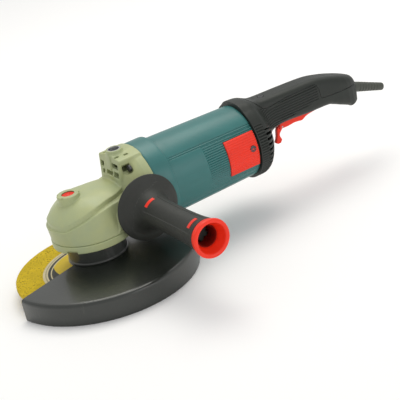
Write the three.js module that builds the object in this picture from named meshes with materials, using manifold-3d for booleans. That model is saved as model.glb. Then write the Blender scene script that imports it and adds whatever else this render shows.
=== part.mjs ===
// Large angle grinder, 230 mm, in millimetres.
// +X points from the rear handle to the gear head, +Y to the side handle, +Z up along the spindle.
// The origin is the centre of the spindle's lower end.
import * as THREE from 'three';
import { mergeVertices } from 'three/addons/utils/BufferGeometryUtils.js';
import { ConvexGeometry } from 'three/addons/geometries/ConvexGeometry.js';
import Module from 'manifold-3d';

const wasm = await Module();
wasm.setup();

// ---- driving dimensions ----
const GAP = 0.3; // clearance between neighbouring pieces
const AXIS_Z = 83; // motor axis above the spindle end

const DISC_R = 115;
const DISC_TOP = 5;
const DISC_THICK = 6;
const DISC_HUB_RISE = 6;
const DISC_BORE_R = 11.2;

const SPINDLE_R = 7; // threaded nose
const BEARING_SEAT_R = 8.5; // spindle in its lower bearing
const LOWER_BEARING = { inner: 8.8, outer: 20, from: 30, to: 42 };
const UPPER_BEARING = { inner: 6.3, outer: 11, from: 89, to: 98 };

const GUARD_R = 126.6;
const GUARD_SHEET = 2;
const GUARD_EDGE_Z = 12.1; // outer face of the plate at its rim
const GUARD_NECK_Z = 20.2; // outer face of the plate at the clamp band
const GUARD_RIM_Z = -17.9; // lower edge of the skirt
const GUARD_FROM = 7; // degrees, front end of the covered sector
const GUARD_TO = 187;
const BAND_R = 39;
const NECK_R = 35; // bearing flange neck inside the band

const HEAD_BASE_Z = 45;
const HEAD_SPLIT_Z = 55; // joint between bearing flange and gear housing
const HEAD_R = 54;
const HEAD_REAR_X = -80.3;
const CHAMBER_R = 41; // gear chamber
const BLOCK_HALF = 27.5; // air block behind the top plate
const BLOCK_TOP_Z = AXIS_Z + 56;
const HANDLE_BOSS = { x: -56.3, z: AXIS_Z - 6.4, face: 57.9, r: 14 };
const TOP_BOSS = { x: -57.6, face: AXIS_Z + 61.5, r: 11 };
const STUD_R = 6.9;
const STUD_HOLE_R = 7.2;
const HEAD_SCREW = { y: 30, z: 40, x: -61 }; // one in each quadrant about the motor axis

const LOCK_X = 19.7;
const LOCK_BOSS_Z = AXIS_Z + 29.8;
const LOCK_PIN_R = 3;

const GEAR_TEETH = 32;
const PINION_TEETH = 8;
const GEAR_PITCH_R = 34;
const GEAR_MODULE = 2 * GEAR_PITCH_R / GEAR_TEETH;
const PINION_PITCH_R = GEAR_MODULE * PINION_TEETH / 2;
const FACE_RATIO = 0.71; // inner over outer cone distance

const RING_R = 57.5; // front ring of the motor housing
const RING_REAR_X = -106.2;
const HOUSING_R = 53.2;
const HOUSING_REAR_R = 50;
const HOUSING_REAR_X = -237.9;
const SHAFT_R = 6;
const FRONT_BEARING = { inner: 6.3, outer: 16, from: -57, to: -47 };
const REAR_BEARING = { inner: 5.3, outer: 11, from: -237, to: -229 };
const CORE = { r: 23.6, from: -178, to: -124 };
const FAN = { r: 43, from: -98, to: -84 };
const COMMUTATOR = { r: 14.5, from: -222, to: -199 };
const BRUSH_X = -210.5;

// brush cover: heights are above the motor axis
const COVER = {
  from: -236, to: -190, low: -22.5, high: 26.5, inner: 49.2, outer: 52.2, screwX: -228, screwZ: 3.7,
};

const HANDLE_HALF = 20.5;
const HANDLE_WALL = 3;
const SLEEVE_TILT = 20; // degrees below the motor axis
const TRIGGER_PIN = [-381, 4.2]; // x and height above the motor axis
const LEVER_PIN = [-304.5, -4.8];
const PLUNGER_X = -326;
const REAR_SCREW_X = -411;
const FRONT_SCREW_X = -285;

const GRIP = { flange: 43.4, from: 58.2, end: 211, bore: 15.2 };
const CORE_END = { y: 216.4, r: 25, mouth: 17.6 };

// ---- finishes ----
const finish = (color, roughness, metalness = 0) =>
  new THREE.MeshStandardMaterial({ color, roughness, metalness });
const SAGE = finish(0xa9b48b, 0.42);
const TEAL = finish(0x2b5d63, 0.4);
const BLACK = finish(0x2b2d2b, 0.5);
const GUARD_BLACK = finish(0x232624, 0.35, 0.4);
const RED = finish(0xe63f28, 0.38);
const STEEL = finish(0xb4b6b8, 0.3, 1);
const DARK_STEEL = finish(0x4c4e50, 0.4, 0.9);
const COPPER = finish(0xb46a3c, 0.35, 1);
const LAMINATE = finish(0x6d6f72, 0.5, 0.8);
const CARBON = finish(0x2a2a2c, 0.7);
const BRASS = finish(0xb89650, 0.35, 1);
const WHITE_PLASTIC = finish(0xd9d6cc, 0.5);
const ABRASIVE = finish(0xc9a928, 0.9);

// ---- solids ----
const up = z => AXIS_Z + z;
const radians = degrees => degrees * Math.PI / 180;

// a closed geometry as a solid, with its faces pointing out
function solid(geometry) {
  geometry.deleteAttribute('normal');
  geometry.deleteAttribute('uv');
  const merged = mergeVertices(geometry, 1e-4);
  const { array } = merged.index;
  const tris = [];
  for (let i = 0; i < array.length; i += 3) {
    const [a, b, c] = [array[i], array[i + 1], array[i + 2]];
    if (a !== b && b !== c && c !== a) tris.push(a, b, c);
  }
  const make = list => new wasm.Manifold(new wasm.Mesh({
    numProp: 3,
    vertProperties: new Float32Array(merged.attributes.position.array),
    triVerts: new Uint32Array(list),
  }));
  const body = make(tris);
  return body.volume() < 0 ? make(tris.reverse()) : body;
}

const join = (...bodies) => bodies.reduce((all, body) => all.add(body));
const cut = (body, ...tools) => tools.reduce((rest, tool) => rest.subtract(tool), body);
const common = (...bodies) => bodies.reduce((all, body) => all.intersect(body));

// columns are where the drawing's x, y and depth point
const PLANES = {
  x: [[0, 1, 0], [0, 0, 1], [1, 0, 0]],
  y: [[1, 0, 0], [0, 0, 1], [0, -1, 0]],
  z: [[1, 0, 0], [0, 1, 0], [0, 0, 1]],
};
const inPlane = axis => new THREE.Matrix4().makeBasis(...PLANES[axis].map(v => new THREE.Vector3(...v)));

// an outline in the plane across an axis, extruded along it
function prism(axis, outline, from, to) {
  const shape = new THREE.Shape(outline.map(([a, b]) => new THREE.Vector2(a, b)));
  const geometry = new THREE.ExtrudeGeometry(shape, { depth: to - from, bevelEnabled: false });
  geometry.translate(0, 0, axis === 'y' ? -to : from);
  return solid(geometry.applyMatrix4(inPlane(axis)));
}

function box(x0, x1, y0, y1, z0, z1) {
  const geometry = new THREE.BoxGeometry(x1 - x0, y1 - y0, z1 - z0);
  return solid(geometry.translate((x0 + x1) / 2, (y0 + y1) / 2, (z0 + z1) / 2));
}

// a profile of [radius, height along the axis] turned about an axis through a point
function turned(axis, profile, segments = 32, at = [0, 0, 0]) {
  const geometry = new THREE.LatheGeometry(profile.map(([r, h]) => new THREE.Vector2(r, h)), segments);
  if (axis === 'x') geometry.rotateZ(-Math.PI / 2);
  if (axis === 'z') geometry.rotateX(Math.PI / 2);
  return solid(geometry.translate(...at));
}

const rod = (axis, radius, from, to, at, segments = 16) =>
  turned(axis, [[0, from], [radius, from], [radius, to], [0, to]], segments, at);
const tube = (axis, inner, outer, from, to, at, segments = 32) =>
  turned(axis, [[inner, from], [outer, from], [outer, to], [inner, to], [inner, from]], segments, at);
const hull = points => solid(new ConvexGeometry(points.map(p => new THREE.Vector3(...p))));
const mirrored = points => points.flatMap(([x, y, z]) => [[x, y, z], [x, -y, z]]);

const MOTOR_AXIS = [0, 0, AXIS_Z];
const root = new THREE.Group();

function piece(name, body, material) {
  const { vertProperties, triVerts } = body.getMesh();
  const geometry = new THREE.BufferGeometry();
  geometry.setAttribute('position', new THREE.BufferAttribute(new Float32Array(vertProperties), 3));
  geometry.setIndex(new THREE.BufferAttribute(new Uint32Array(triVerts), 1));
  geometry.computeVertexNormals();
  const mesh = new THREE.Mesh(geometry, material);
  mesh.name = name;
  root.add(mesh);
}

// ---- gear head ----
// shoulder of the top plate: x, half width and height above the motor axis
const SHOULDER = [
  [50.5, 8, -0.5], [48.9, 23.9, 0], [42, 30, 1], [30.4, 36.6, 5.2], [12, 41.3, 12.5],
  [-9.7, 38.5, 17], [-25.5, 36, 19.8], [-44, 31, 21.5],
];
const CROWN = [[40, 0, 11], [30, 0, 19], [19, 0, 24], [5, 0, 27], [-12, 0, 28.5], [-30, 0, 28], [-48, 0, 26]];

function headSkirt() {
  const points = [];
  for (let a = -90; a <= 90; a += 18) {
    const [c, s] = [Math.cos(radians(a)), Math.sin(radians(a))];
    points.push([HEAD_R * c, HEAD_R * s, HEAD_SPLIT_Z + GAP]);
    points.push([HEAD_R * c, HEAD_R * s, HEAD_SPLIT_Z + 14]);
  }
  points.push(...mirrored([[-70, HEAD_R - 4, HEAD_SPLIT_Z + GAP], [-70, HEAD_R - 4, up(0)]]));
  points.push(...mirrored(SHOULDER.map(([x, y, z]) => [x, y, up(z)])));
  points.push(...CROWN.map(([x, y, z]) => [x, y, up(z)]));
  return hull(points);
}

function airBlock() {
  const front = [[-42.5, BLOCK_HALF, up(15)], [-47.3, BLOCK_HALF, BLOCK_TOP_Z]];
  const rear = [[-74, BLOCK_HALF, up(15)], [-74, BLOCK_HALF, BLOCK_TOP_Z]];
  return hull(mirrored([...front, ...rear]));
}

function airSlots() {
  const slots = [
    [-23, -15, 37.5, 45], [-20, -14, 28, 34], [-8, 8, 30, 35], [7, 23, 40.5, 47], [11, 23, 29, 36],
  ];
  return slots.map(([y0, y1, z0, z1]) => box(-56, -38, y0, y1, up(z0), up(z1)));
}

const quadrants = () => [[1, 1], [-1, 1], [-1, -1], [1, -1]];

function gearHousing() {
  const ringTop = turned('x', [[0, HEAD_REAR_X], [RING_R, HEAD_REAR_X], [RING_R, -72], [49, -60], [0, -60]],
    36, MOTOR_AXIS);
  const bosses = [1, -1].map(side => rod('y', HANDLE_BOSS.r, side > 0 ? 30 : -HANDLE_BOSS.face,
    side > 0 ? HANDLE_BOSS.face : -30, [HANDLE_BOSS.x, 0, HANDLE_BOSS.z], 16));
  const topBoss = rod('z', TOP_BOSS.r, up(20), TOP_BOSS.face, [TOP_BOSS.x, 0, 0], 12);
  const lockBoss = rod('z', 15, up(8), LOCK_BOSS_Z, [LOCK_X, 0, 0], 20);
  let body = join(headSkirt(), airBlock(), ringTop, ...bosses, lockBoss);
  body = cut(body,
    rod('z', CHAMBER_R, 0, up(-3.5), [0, 0, 0], 24),
    rod('z', 24, up(-5), up(3), [0, 0, 0], 16),
    rod('z', UPPER_BEARING.outer + GAP, up(2), UPPER_BEARING.to + GAP, [0, 0, 0], 16),
    rod('x', FRONT_BEARING.outer + GAP, -90, FRONT_BEARING.to + GAP, MOTOR_AXIS, 16),
    rod('x', 12, -60, -18, MOTOR_AXIS, 12),
    // air duct from the fan through the block
    box(-90, -50, -BLOCK_HALF + 3.5, BLOCK_HALF - 3.5, up(25), BLOCK_TOP_Z - 4),
    ...airSlots());
  body = join(body, topBoss);
  const screwHoles = quadrants().flatMap(([sy, sz]) => {
    const at = [0, sy * HEAD_SCREW.y, up(sz * HEAD_SCREW.z)];
    return [rod('x', 6.5, HEAD_SCREW.x, -30, at, 10), rod('x', 2.9, -90, HEAD_SCREW.x + 1, at, 6)];
  });
  return cut(body,
    ...screwHoles,
    rod('y', STUD_HOLE_R, 33, 60, [HANDLE_BOSS.x, 0, HANDLE_BOSS.z], 12),
    rod('y', STUD_HOLE_R, -60, -33, [HANDLE_BOSS.x, 0, HANDLE_BOSS.z], 12),
    rod('z', STUD_HOLE_R, up(38), up(70), [TOP_BOSS.x, 0, 0], 12),
    rod('z', 9.9, up(19.5), up(40), [LOCK_X, 0, 0], 20),
    rod('z', LOCK_PIN_R + 0.4, up(-8), up(22), [LOCK_X, 0, 0], 8),
    ...flangeScrewSpots().map(([x, y]) => rod('z', 2.5, HEAD_SPLIT_Z - 1, HEAD_SPLIT_Z + 16, [x, y, 0], 6)));
}

function flangeScrewSpots() {
  const r = 47.5;
  return [45, 135, 225, 315].map(a => [r * Math.cos(radians(a)), r * Math.sin(radians(a))]);
}

function bearingFlange() {
  const profile = [
    [12, 21], [NECK_R, 21], [NECK_R, HEAD_BASE_Z], [HEAD_R - 2, HEAD_BASE_Z], [HEAD_R, HEAD_BASE_Z + 2],
    [HEAD_R, HEAD_SPLIT_Z], [20.3, HEAD_SPLIT_Z], [20.3, LOWER_BEARING.from - GAP],
    [12, LOWER_BEARING.from - GAP], [12, 21],
  ];
  const holes = flangeScrewSpots().flatMap(([x, y]) => [
    rod('z', 2.5, HEAD_BASE_Z - 1, HEAD_SPLIT_Z + 1, [x, y, 0], 6),
    rod('z', 4.6, HEAD_BASE_Z - 1, HEAD_BASE_Z + 4, [x, y, 0], 8),
  ]);
  return cut(turned('z', profile, 32), ...holes);
}

// head and shank are the two ends of each along the axis
function screw(axis, at, head, shank, headR = 4.2, shankR = 2.2) {
  const ends = pair => [Math.min(...pair), Math.max(...pair)];
  return join(rod(axis, headR, ...ends(head), at, 10), rod(axis, shankR, ...ends(shank), at, 6));
}

piece('gear_housing', gearHousing(), SAGE);
piece('bearing_flange', bearingFlange(), SAGE);
flangeScrewSpots().forEach(([x, y], i) => {
  const head = [HEAD_BASE_Z + 3.7, HEAD_BASE_Z + 0.4];
  const shank = [HEAD_BASE_Z + 3, HEAD_SPLIT_Z + 15];
  piece(`flange_screw_${i + 1}`, screw('z', [x, y, 0], head, shank), DARK_STEEL);
});
quadrants().forEach(([sy, sz], i) => {
  const at = [0, sy * HEAD_SCREW.y, up(sz * HEAD_SCREW.z)];
  const head = [HEAD_SCREW.x + GAP, HEAD_SCREW.x + 4.5];
  piece(`head_screw_${i + 1}`, screw('x', at, head, [HEAD_SCREW.x + 1, -97], 4.6), DARK_STEEL);
});

// ---- spindle, gears and disc ----
function spindle() {
  return turned('z', [
    [0, 0], [SPINDLE_R - 1, 0], [SPINDLE_R, 1], [SPINDLE_R, 19.3], [11, 19.3], [11, 29.4],
    [BEARING_SEAT_R, 29.4], [BEARING_SEAT_R, 70], [6, 74], [6, UPPER_BEARING.to - 0.5],
    [0, UPPER_BEARING.to - 0.5],
  ], 24);
}

// straight bevel teeth, each one a frustum that points to where the two shafts' axes meet
function bevelTeeth(count, pitchR, mateR, { foot, tip, footHalf, tipHalf, phase }) {
  const cone = Math.hypot(pitchR, mateR);
  const along = new THREE.Vector3(pitchR / cone, 0, -mateR / cone);
  const out = new THREE.Vector3(mateR / cone, 0, pitchR / cone);
  const corners = [[foot, -footHalf], [foot, footHalf], [tip, tipHalf], [tip, -tipHalf]];
  const ends = [cone * FACE_RATIO, cone];
  return Array.from({ length: count }, (_, i) => {
    const turn = new THREE.Matrix4().makeRotationZ(2 * Math.PI * (i + phase) / count);
    const points = ends.flatMap(l => corners.map(([h, w]) => new THREE.Vector3()
      .addScaledVector(along, l)
      .addScaledVector(out, h * l / cone)
      .add(new THREE.Vector3(0, w * l / cone, 0))
      .applyMatrix4(turn)));
    return solid(new ConvexGeometry(points));
  });
}

function crownGear() {
  const pitchZ = AXIS_Z - PINION_PITCH_R;
  const inner = GEAR_PITCH_R * FACE_RATIO;
  const innerZ = AXIS_Z - PINION_PITCH_R * FACE_RATIO;
  const rootDrop = 1.25 * GEAR_MODULE;
  const blank = turned('z', [
    [8.8, 56], [14, 56], [14, 62], [GEAR_PITCH_R + 0.8, 62], [GEAR_PITCH_R, pitchZ - rootDrop],
    [inner - 0.3, innerZ - rootDrop * FACE_RATIO], [inner - 1, 73], [8.8, 73], [8.8, 56],
  ], GEAR_TEETH);
  const teeth = bevelTeeth(GEAR_TEETH, GEAR_PITCH_R, PINION_PITCH_R, {
    foot: -rootDrop - 0.6, tip: 0.8 * GEAR_MODULE, footHalf: 0.43 * GEAR_MODULE * Math.PI / 2 + 0.45,
    tipHalf: 0.43 * GEAR_MODULE * Math.PI / 2 - 0.6, phase: 0,
  }).map(tooth => tooth.translate([0, 0, AXIS_Z]));
  const holes = [0, 90, 180, 270].map(a =>
    rod('z', 3.8, 61, 75, [LOCK_X * Math.cos(radians(a)), LOCK_X * Math.sin(radians(a)), 0], 12));
  return cut(join(blank, ...teeth), ...holes);
}

function pinionGear() {
  const cone = Math.hypot(GEAR_PITCH_R, PINION_PITCH_R);
  const rootDrop = 1.15 * GEAR_MODULE;
  const outerR = PINION_PITCH_R - rootDrop * GEAR_PITCH_R / cone;
  const blank = turned('z', [
    [3.8, -GEAR_PITCH_R - 3], [outerR + 0.6, -GEAR_PITCH_R - 3], [outerR, -GEAR_PITCH_R],
    [outerR * FACE_RATIO, -GEAR_PITCH_R * FACE_RATIO + 0.2], [3.8, -GEAR_PITCH_R * FACE_RATIO + 0.2],
    [3.8, -GEAR_PITCH_R - 3],
  ], 16);
  const teeth = bevelTeeth(PINION_TEETH, PINION_PITCH_R, GEAR_PITCH_R, {
    foot: -rootDrop - 0.8, tip: 0.8 * GEAR_MODULE, footHalf: 0.4 * GEAR_MODULE * Math.PI / 2 + 0.45,
    tipHalf: 0.4 * GEAR_MODULE * Math.PI / 2 - 0.7, phase: 0.5,
  });
  // built with the cone's tip up, then laid along the motor axis with its tip forward
  const laid = new THREE.Matrix4().makeTranslation(...MOTOR_AXIS)
    .multiply(new THREE.Matrix4().makeRotationY(Math.PI / 2));
  const body = join(blank, ...teeth);
  return body.transform(laid.elements);
}

function bearing({ inner, outer, from, to }, axis, at) {
  const shoulder = (outer - inner) / 4;
  const dish = 0.8;
  const profile = [
    [inner, from], [inner + shoulder, from + dish], [outer, from], [outer, to], [outer - shoulder, to - dish],
    [inner, to], [inner, from],
  ];
  return turned(axis, profile, 16, at);
}

function grindingDisc() {
  const [top, bottom] = [DISC_TOP, DISC_TOP - DISC_THICK];
  return turned('z', [
    [DISC_BORE_R, bottom + DISC_HUB_RISE], [26, bottom + DISC_HUB_RISE], [36, bottom], [DISC_R, bottom],
    [DISC_R, top], [36, top], [26, top + DISC_HUB_RISE], [DISC_BORE_R, top + DISC_HUB_RISE],
    [DISC_BORE_R, bottom + DISC_HUB_RISE],
  ], 48);
}

function innerFlange() {
  const seat = DISC_TOP + DISC_HUB_RISE + GAP;
  return turned('z', [
    [SPINDLE_R + GAP, 8], [DISC_BORE_R - GAP, 8], [DISC_BORE_R - GAP, seat], [21, seat], [21, 16.5],
    [16, 19], [SPINDLE_R + GAP, 19], [SPINDLE_R + GAP, 8],
  ], 24);
}

function clampingNut() {
  const seat = DISC_TOP - GAP;
  const body = turned('z', [
    [SPINDLE_R + GAP, 0.4], [19, 0.4], [20, 1.4], [20, seat], [DISC_BORE_R - GAP, seat],
    [DISC_BORE_R - GAP, 7.5], [SPINDLE_R + GAP, 7.5], [SPINDLE_R + GAP, 0.4],
  ], 24);
  return cut(body, ...[1, -1].map(s => rod('z', 2.6, 0, 3.4, [s * 15, 0, 0], 12)));
}

piece('spindle', spindle(), STEEL);
piece('crown_gear', crownGear(), DARK_STEEL);
piece('pinion_gear', pinionGear(), DARK_STEEL);
piece('lower_bearing', bearing(LOWER_BEARING, 'z', [0, 0, 0]), STEEL);
piece('upper_bearing', bearing(UPPER_BEARING, 'z', [0, 0, 0]), STEEL);
piece('grinding_disc', grindingDisc(), ABRASIVE);
piece('inner_flange', innerFlange(), STEEL);
piece('clamping_nut', clampingNut(), STEEL);

// ---- guard ----
function sector(from, to, r, z0, z1) {
  const steps = 8;
  const arc = Array.from({ length: steps + 1 }, (_, i) => {
    const a = radians(THREE.MathUtils.lerp(from, to, i / steps));
    return [r * Math.cos(a), r * Math.sin(a)];
  });
  return prism('z', [[0, 0], ...arc], z0, z1);
}

function guard() {
  const [r, t] = [GUARD_R, GUARD_SHEET];
  const inner = BAND_R - 3;
  const profile = [
    [BAND_R + GAP, GUARD_NECK_Z - t], [r - t - 2, GUARD_EDGE_Z - t], [r - t, GUARD_EDGE_Z - t - 2],
    [r - t, GUARD_RIM_Z], [r, GUARD_RIM_Z], [r, GUARD_EDGE_Z - 5], [r - 1.6, GUARD_EDGE_Z - 1.6],
    [r - 5, GUARD_EDGE_Z], [BAND_R + GAP, GUARD_NECK_Z], [BAND_R + GAP, GUARD_NECK_Z - t],
  ];
  const keep = sector(GUARD_FROM, GUARD_TO, 200, -60, 60);
  const collar = tube('z', inner, BAND_R + 1, GUARD_NECK_Z - t, GUARD_NECK_Z, [0, 0, 0], 28);
  return join(common(turned('z', profile, 56), keep), collar);
}

function guardBand() {
  const inner = NECK_R + GAP;
  const ring = tube('z', inner, BAND_R, GUARD_NECK_Z + GAP, HEAD_BASE_Z - 0.5, [0, 0, 0], 28);
  const lugs = [box(-12, -2.2, -52, -36, 25, 40), box(2.2, 12, -52, -36, 25, 40)];
  const slit = box(-2.2, 2.2, -60, -30, 0, 60);
  const hole = rod('x', 3, -20, 20, [0, -45.5, 32.5], 16);
  const bore = rod('z', inner, 0, 60, [0, 0, 0], 28);
  return cut(join(ring, ...lugs), slit, hole, bore);
}

piece('guard', guard(), GUARD_BLACK);
piece('guard_clamp_band', guardBand(), GUARD_BLACK);
piece('guard_clamp_screw', screw('x', [0, -45.5, 32.5], [12.3, 17], [13, -18], 4.6, 2.7), STEEL);

// ---- spindle lock ----
function lockSpring() {
  const [r, wire, turns, from, to] = [5.2, 0.45, 4, up(20.2), up(24.4)];
  const points = Array.from({ length: turns * 8 + 1 }, (_, i) => {
    const a = i / 8 * 2 * Math.PI;
    const z = THREE.MathUtils.lerp(from + wire, to - wire, i / (turns * 8));
    return new THREE.Vector3(LOCK_X + r * Math.cos(a), r * Math.sin(a), z);
  });
  const path = new THREE.CatmullRomCurve3(points);
  const section = new THREE.Shape(Array.from({ length: 5 }, (_, i) =>
    new THREE.Vector2(wire * Math.cos(i * 0.4 * Math.PI), wire * Math.sin(i * 0.4 * Math.PI))));
  return solid(new THREE.ExtrudeGeometry(section, { steps: turns * 8, extrudePath: path }));
}

piece('lock_button', turned('z', [
  [0, up(25)], [9.4, up(25)], [9.4, up(27.4)], [7.8, up(28.4)], [0, up(28.7)],
], 20, [LOCK_X, 0, 0]), RED);
piece('lock_pin', turned('z', [
  [0, 74.2], [LOCK_PIN_R - 0.6, 74.2], [LOCK_PIN_R, 75], [LOCK_PIN_R, up(24.7)], [0, up(24.7)],
], 16, [LOCK_X, 0, 0]), STEEL);
piece('lock_spring', lockSpring(), STEEL);

// ---- side handle ----
const atHandle = [HANDLE_BOSS.x, 0, HANDLE_BOSS.z];

function sideGrip() {
  const f = GRIP.from;
  return turned('y', [
    [STUD_HOLE_R, f], [30, f], [GRIP.flange, f + 0.8], [GRIP.flange, f + 2.6], [33, f + 7.5], [25, f + 14],
    [20.5, f + 26], [19.3, f + 54], [19.3, f + 104], [22.4, GRIP.end - 7], [GRIP.bore, GRIP.end - 7],
    [GRIP.bore, 118], [STUD_HOLE_R, 118], [STUD_HOLE_R, f],
  ], 24, atHandle);
}

function handleCore() {
  const { y, r, mouth } = CORE_END;
  const outer = GRIP.bore - GAP;
  return turned('y', [
    [0, 118.3], [outer, 118.3], [outer, GRIP.end - 6.7], [22.6, GRIP.end - 6.7], [r, y - 2], [r - 1.5, y],
    [mouth + 2, y], [mouth, y - 4], [12, y - 18], [11, 140], [0, 140],
  ], 24, atHandle);
}

function handleStud() {
  return turned('y', [
    [0, 33.5], [STUD_R - 1, 33.5], [STUD_R, 34.5], [STUD_R, 117], [0, 117],
  ], 12, atHandle);
}

piece('side_handle_grip', sideGrip(), BLACK);
piece('side_handle_core', handleCore(), RED);
piece('side_handle_stud', handleStud(), STEEL);

// ---- motor ----
function motorHousing() {
  const front = HEAD_REAR_X - GAP;
  const rear = HOUSING_REAR_X;
  const outer = [[RING_R, front], [RING_R, RING_REAR_X], [HOUSING_R, RING_REAR_X], [HOUSING_REAR_R, rear]];
  const inner = [[46.8, rear], [49.8, -108], [54.4, -104], [54.4, front], [RING_R, front]];
  const shell = turned('x', [...outer, ...inner], 40, MOTOR_AXIS);
  const web = cut(tube('x', REAR_BEARING.outer + GAP, 48, rear, rear + 6, MOTOR_AXIS, 24),
    ...[45, 135, 225, 315].map(a => rod('x', 12.5, rear - 1, rear + 7,
      [0, 30 * Math.cos(radians(a)), up(30 * Math.sin(radians(a)))], 10)));
  const seat = tube('x', REAR_BEARING.outer + GAP, REAR_BEARING.outer + 4, rear, REAR_BEARING.to + 2,
    MOTOR_AXIS, 24);
  const screwBosses = quadrants().map(([sy, sz]) =>
    rod('x', 5.6, RING_REAR_X + 2, front, [0, sy * HEAD_SCREW.y, up(sz * HEAD_SCREW.z)], 8));
  const brushBosses = [1, -1].map(s => box(BRUSH_X - 9, BRUSH_X + 9, s > 0 ? 36 : -47.5, s > 0 ? 47.5 : -36,
    up(-9), up(9)));
  let body = join(shell, web, seat, ...screwBosses);
  body = cut(body, ...[1, -1].map(s => coverBlank(s, COVER.outer + 8, COVER.inner - GAP, 0.35)));
  body = join(body, ...brushBosses.map(boss => common(boss, rod('x', 48, -260, -100, MOTOR_AXIS, 24))));
  const holes = quadrants().map(([sy, sz]) =>
    rod('x', 2.6, -98.5, front + 1, [0, sy * HEAD_SCREW.y, up(sz * HEAD_SCREW.z)], 6));
  return cut(body, ...holes, box(BRUSH_X - 6.3, BRUSH_X + 6.3, -60, 60, up(-5.3), up(5.3)),
    rod('y', 2.3, -60, 60, [COVER.screwX, 0, up(COVER.screwZ)], 12));
}

// the sector of a tube that a brush cover takes up, on the left (1) or right (-1)
function coverBlank(side, outer, inner, grow = 0) {
  const slab = box(COVER.from - grow, COVER.to + grow, side > 0 ? 30 : -70, side > 0 ? 70 : -30,
    up(COVER.low - grow), up(COVER.high + grow));
  return common(tube('x', inner, outer, COVER.from - grow - 1, COVER.to + grow + 1, MOTOR_AXIS, 48), slab);
}

function brushCover(side) {
  const at = [COVER.screwX, 0, up(COVER.screwZ)];
  return cut(coverBlank(side, COVER.outer, COVER.inner),
    rod('y', 2.5, side > 0 ? 30 : -60, side > 0 ? 60 : -30, at, 12),
    rod('y', 4.5, side > 0 ? 50.4 : -60, side > 0 ? 60 : -50.4, at, 16));
}

function fieldCoil(side) {
  const [z0, z1] = side > 0 ? [25.5, 31] : [-31, -25.5];
  const ring = [box(CORE.from - 9, CORE.to + 9, -21.5, 21.5, up(z0), up(z1)),
    box(CORE.from - 2, CORE.to + 2, -17, 17, up(z0 - 1), up(z1 + 1))];
  return cut(ring[0], ring[1], rod('x', 24.6, -260, 0, MOTOR_AXIS, 32));
}

function statorCore() {
  const ring = tube('x', 38.5, 45.6, CORE.from, CORE.to, MOTOR_AXIS, 32);
  const poles = [[20, 42], [-42, -20]].map(([low, high]) =>
    box(CORE.from, CORE.to, -16.7, 16.7, up(low), up(high)));
  return cut(join(ring, ...poles.map(p => common(p, rod('x', 43, -260, 0, MOTOR_AXIS, 32)))),
    rod('x', 24.6, -260, 0, MOTOR_AXIS, 32));
}

const SLOTS = 8;
const slotBars = (half, r0, r1, from, to) => Array.from({ length: SLOTS }, (_, i) => {
  const outline = [[-half, r0], [half, r0], [half, r1], [-half, r1]];
  const [c, s] = [Math.cos(2 * Math.PI * i / SLOTS), Math.sin(2 * Math.PI * i / SLOTS)];
  return prism('x', outline.map(([a, b]) => [a * c - b * s, up(a * s + b * c)]), from, to);
});

function armatureCore() {
  const { r, from, to } = CORE;
  const core = tube('x', SHAFT_R + 1.3, r, from, to, MOTOR_AXIS, 24);
  return cut(core, ...slotBars(2.6, 13, 22.2, from - 1, to + 1));
}

function armatureWinding() {
  const { from, to } = CORE;
  const ends = [tube('x', SHAFT_R + 1.6, 21.6, from - 11, from - GAP, MOTOR_AXIS, 24),
    tube('x', SHAFT_R + 1.6, 21.6, to + GAP, to + 10, MOTOR_AXIS, 24)];
  return join(...ends, ...slotBars(2.2, 13.5, 21.4, from - 2, to + 2));
}

function commutator() {
  const { r, from, to } = COMMUTATOR;
  const drum = turned('x', [[SHAFT_R + GAP, from], [r, from], [r, to - 3], [r + 2, to - 3], [r + 2, to],
    [SHAFT_R + GAP, to], [SHAFT_R + GAP, from]], 24, MOTOR_AXIS);
  return cut(drum, ...slotBars(0.4, r - 1.2, r + 4, from - 1, to - 3));
}

function coolingFan() {
  const { r, from, to } = FAN;
  const hub = turned('x', [[SHAFT_R + GAP, from], [r, from], [r, from + 2], [16, from + 5], [14, to],
    [SHAFT_R + GAP, to], [SHAFT_R + GAP, from]], 24, MOTOR_AXIS);
  const blades = Array.from({ length: 8 }, (_, i) => {
    const outline = [[12, -0.8], [r - 1, 5.2], [r - 1, 6.8], [12, 0.8]];
    const [c, s] = [Math.cos(radians(45 * i)), Math.sin(radians(45 * i))];
    return prism('x', outline.map(([a, b]) => [a * c - b * s, up(a * s + b * c)]), from + 1, to);
  });
  return join(hub, ...blades);
}

function armatureShaft() {
  return turned('x', [
    [0, -238.5], [5, -238.5], [5, -226], [SHAFT_R, -225], [SHAFT_R, CORE.from - 12],
    [SHAFT_R + 1, CORE.from - 11], [SHAFT_R + 1, CORE.to + 10], [SHAFT_R, CORE.to + 12],
    [SHAFT_R, -38.5], [3.5, -38.5], [3.5, -24.5], [0, -24.5],
  ], 16, MOTOR_AXIS);
}

piece('motor_housing', motorHousing(), TEAL);
piece('front_motor_bearing', bearing(FRONT_BEARING, 'x', MOTOR_AXIS), STEEL);
piece('rear_motor_bearing', bearing(REAR_BEARING, 'x', MOTOR_AXIS), STEEL);
piece('stator_core', statorCore(), LAMINATE);
piece('field_coil_upper', fieldCoil(1), COPPER);
piece('field_coil_lower', fieldCoil(-1), COPPER);
piece('armature_shaft', armatureShaft(), STEEL);
piece('armature_core', armatureCore(), LAMINATE);
piece('armature_winding', armatureWinding(), COPPER);
piece('commutator', commutator(), COPPER);
piece('cooling_fan', coolingFan(), BLACK);
piece('air_baffle', turned('x', [
  [34, -103.5], [49, -108.5], [49, -110.5], [47, -110.5], [33, -105.5], [34, -103.5],
], 24, MOTOR_AXIS), BLACK);

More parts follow.
